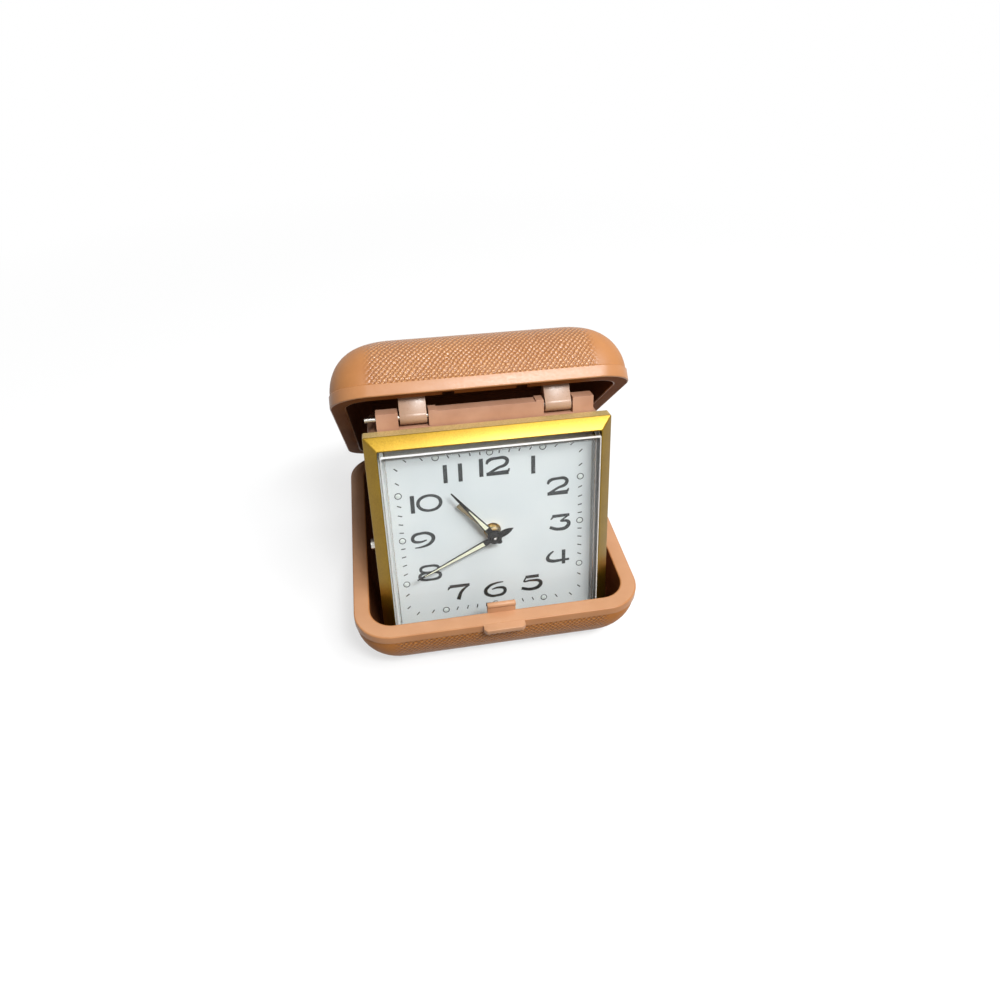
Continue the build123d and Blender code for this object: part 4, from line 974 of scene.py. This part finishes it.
for body, (angle, level, (near, far, wide_half, tip_half), _) in hands.items():
    inlay = bmesh.new()
    outline = ((-wide_half, near), (wide_half, near), (tip_half, far), (-tip_half, far))
    face = inlay.faces.new(
        [inlay.verts.new((x * mm, y * mm, level + hand_thick)) for x, y in outline])
    pull_out(inlay, [face], (0, 0, inlay_stand))
    bmesh.ops.recalc_face_normals(inlay, faces=inlay.faces)
    settle(f"{body}_inlay", inlay, [lume_cream], body, hand_place(angle))
for body, (angle, level, _, half) in hands.items():
    tail = bmesh.new()
    ridge = [tail.verts.new((0, y * mm, level + ridge_level)) for _, y in half]
    for side in (-1, 1):
        low = [tail.verts.new((side * x * mm, y * mm, level)) for x, y in half]
        high = [tail.verts.new((side * x * mm, y * mm, level + hand_thick)) for x, y in half]
        foot = [tail.verts.new((0, y * mm, level)) for _, y in half]
        for first, second in ((ridge, high), (high, low), (low, foot)):
            for start in range(len(half) - 1):
                tail.faces.new((first[start], first[start + 1],
                                second[start + 1], second[start]))
        tail.faces.new((foot[0], low[0], high[0], ridge[0]))
    bmesh.ops.remove_doubles(tail, verts=tail.verts, dist=weld)
    bmesh.ops.dissolve_degenerate(tail, edges=tail.edges, dist=weld)
    bmesh.ops.recalc_face_normals(tail, faces=tail.faces)
    settle(f"{body}_tail", tail, [hand_black], body, hand_place(angle))

# Hub: a black button pressed on over the minute hand, with the polished round
# end of the steel arbor showing in its middle.
hub_foot, hub_top, hub_thick = 1.55 * mm, 1.2 * mm, 0.35 * mm
hub_level, hub_soft = 4.1 * mm, 0.1 * mm
tip_radius, tip_level, tip_flat = 0.42 * mm, 4.3 * mm, 0.7
hub = bmesh.new()
bmesh.ops.create_cone(hub, cap_ends=True, segments=32, radius1=hub_foot, radius2=hub_top,
                      depth=hub_thick)
bevel(hub, end_rims(hub.edges), hub_soft, 3)
bmesh.ops.translate(hub, vec=(0, 0, hub_level), verts=hub.verts)
settle("hand_boss", hub, [hand_black], "minute", clock_place)
tip = bmesh.new()
bmesh.ops.create_uvsphere(tip, u_segments=24, v_segments=12, radius=tip_radius)
bmesh.ops.scale(tip, vec=(1, 1, tip_flat), verts=tip.verts)
bmesh.ops.translate(tip, vec=(0, 0, tip_level), verts=tip.verts)
settle("arbor_tip", tip, [steel], "minute", clock_place)

# Floor and backdrop: a pale table and surroundings that look white to the eye,
# in metal and through the crystal, and throw only a soft tilted light themselves.
floor_half = 3.0


def white_to_eye(tree):
    """Mask of the rays that see the backdrop: straight, off metal or through glass."""
    path = add_node(tree, "ShaderNodeLightPath")
    mirrored = math_node(tree, "MAXIMUM", path.outputs["Is Glossy Ray"],
                         path.outputs["Is Transmission Ray"])
    return math_node(tree, "MAXIMUM", path.outputs["Is Camera Ray"], mirrored)


floor_shape = bmesh.new()
bmesh.ops.create_grid(floor_shape, x_segments=1, y_segments=1, size=floor_half)
floor_mesh = bpy.data.meshes.new("floor")
floor_shape.to_mesh(floor_mesh)
floor_shape.free()
add_object("floor", floor_mesh)
floor_white, floor_tree, floor_shader = new_material("floor_white")
floor_mesh.materials.append(floor_white)
floor_seen = white_to_eye(floor_tree)
fill(floor_shader, Roughness=0.9, Specular_IOR_Level=0.0,
     Base_Color=colour_mix(floor_tree, floor_seen, (0.16, 0.155, 0.15, 1), (0.9, 0.9, 0.9, 1)))
floor_glow = add_node(floor_tree, "ShaderNodeEmission", Color=(1, 1, 1, 1))
floor_place = add_node(floor_tree, "ShaderNodeTexCoord")
floor_away = floor_tree.nodes.new("ShaderNodeVectorMath")
floor_away.operation = "LENGTH"
give(floor_away.inputs[0], floor_place.outputs["Object"])
floor_share = spread(floor_tree, floor_away.outputs["Value"], 0.1, 0.4, 0.66, 1.0)
choose_shader(floor_tree, math_node(floor_tree, "MULTIPLY", floor_seen, floor_share),
              floor_shader.outputs["BSDF"], floor_glow.outputs["Emission"])

world = bpy.data.worlds.new("studio")
bpy.context.scene.world = world
world.use_nodes = True
sky_tree = world.node_tree
sky_place = add_node(sky_tree, "ShaderNodeTexCoord")
sky_parts = add_node(sky_tree, "ShaderNodeSeparateXYZ", Vector=sky_place.outputs["Generated"])
sky_tilt = math_node(sky_tree, "ADD", sky_parts.outputs["Z"],
                     math_node(sky_tree, "MULTIPLY", sky_parts.outputs["X"], 0.7))
sky_light = spread(sky_tree, sky_tilt, 0.0, 1.2, 0.02, 0.85)
fill(sky_tree.nodes["Background"], Color=(1, 1, 1, 1),
     Strength=math_node(sky_tree, "MAXIMUM", sky_light, white_to_eye(sky_tree)))

# Lamps: the key stands front right, a smaller one more in front of the dial, and
# a soft one overhead. All point at the middle of the clock.
lamp_aim = Vector((0, 0, 40.0 * mm))


def lamp(name, place, size, power, tint=(1, 1, 1)):
    light = bpy.data.lights.new(name, "AREA")
    light.shape = "ELLIPSE"
    light.size, light.size_y = size
    light.energy = power
    light.color = tint
    holder = add_object(name, light)
    holder.location = place
    holder.rotation_euler = (lamp_aim - Vector(place)).to_track_quat("-Z", "Y").to_euler()


lamp("key", (0.345, -0.385, 0.66), (0.4, 0.2), 3.0, (1.0, 0.99, 0.98))
lamp("front", (0.13, -0.44, 0.66), (0.2, 0.14), 4.1, (0.97, 0.99, 1.0))
lamp("top", (0.24, -0.12, 0.75), (0.34, 0.26), 0.85)

# Camera: where the photograph was taken, as the rims and the bezel give it. The
# lens's centre lies a little above the picture's middle, and the shift follows it.
view_azimuth, view_elevation, view_roll = radians(-10.39), radians(36.36), radians(0.47)
view_distance = 265.09 * mm
view_target = Vector((14.04 * mm, 39.12 * mm, rim_level))
focal_px, centre_x, centre_y, frame_px, sensor = 740.34, 503.65, 445.39, 1000.0, 36.0
forward = Vector((-sin(view_azimuth) * cos(view_elevation),
                  cos(view_azimuth) * cos(view_elevation), -sin(view_elevation)))
right = forward.cross(Vector((0, 0, 1))).normalized()
upward = right.cross(forward)
side = right * cos(view_roll) + upward * sin(view_roll)
above = upward * cos(view_roll) - right * sin(view_roll)
camera_data = bpy.data.cameras.new("camera")
camera_data.sensor_width = sensor
camera_data.lens = focal_px * sensor / frame_px
camera_data.shift_x = (frame_px / 2 - centre_x) / frame_px
camera_data.shift_y = (centre_y - frame_px / 2) / frame_px
camera_data.clip_start = 0.01
camera = add_object("camera", camera_data)
turned = Matrix((side, above, -forward)).transposed().to_4x4()
camera.matrix_world = Matrix.Translation(view_target - forward * view_distance) @ turned
bpy.context.scene.camera = camera
bpy.context.scene.view_settings.view_transform = "Standard"
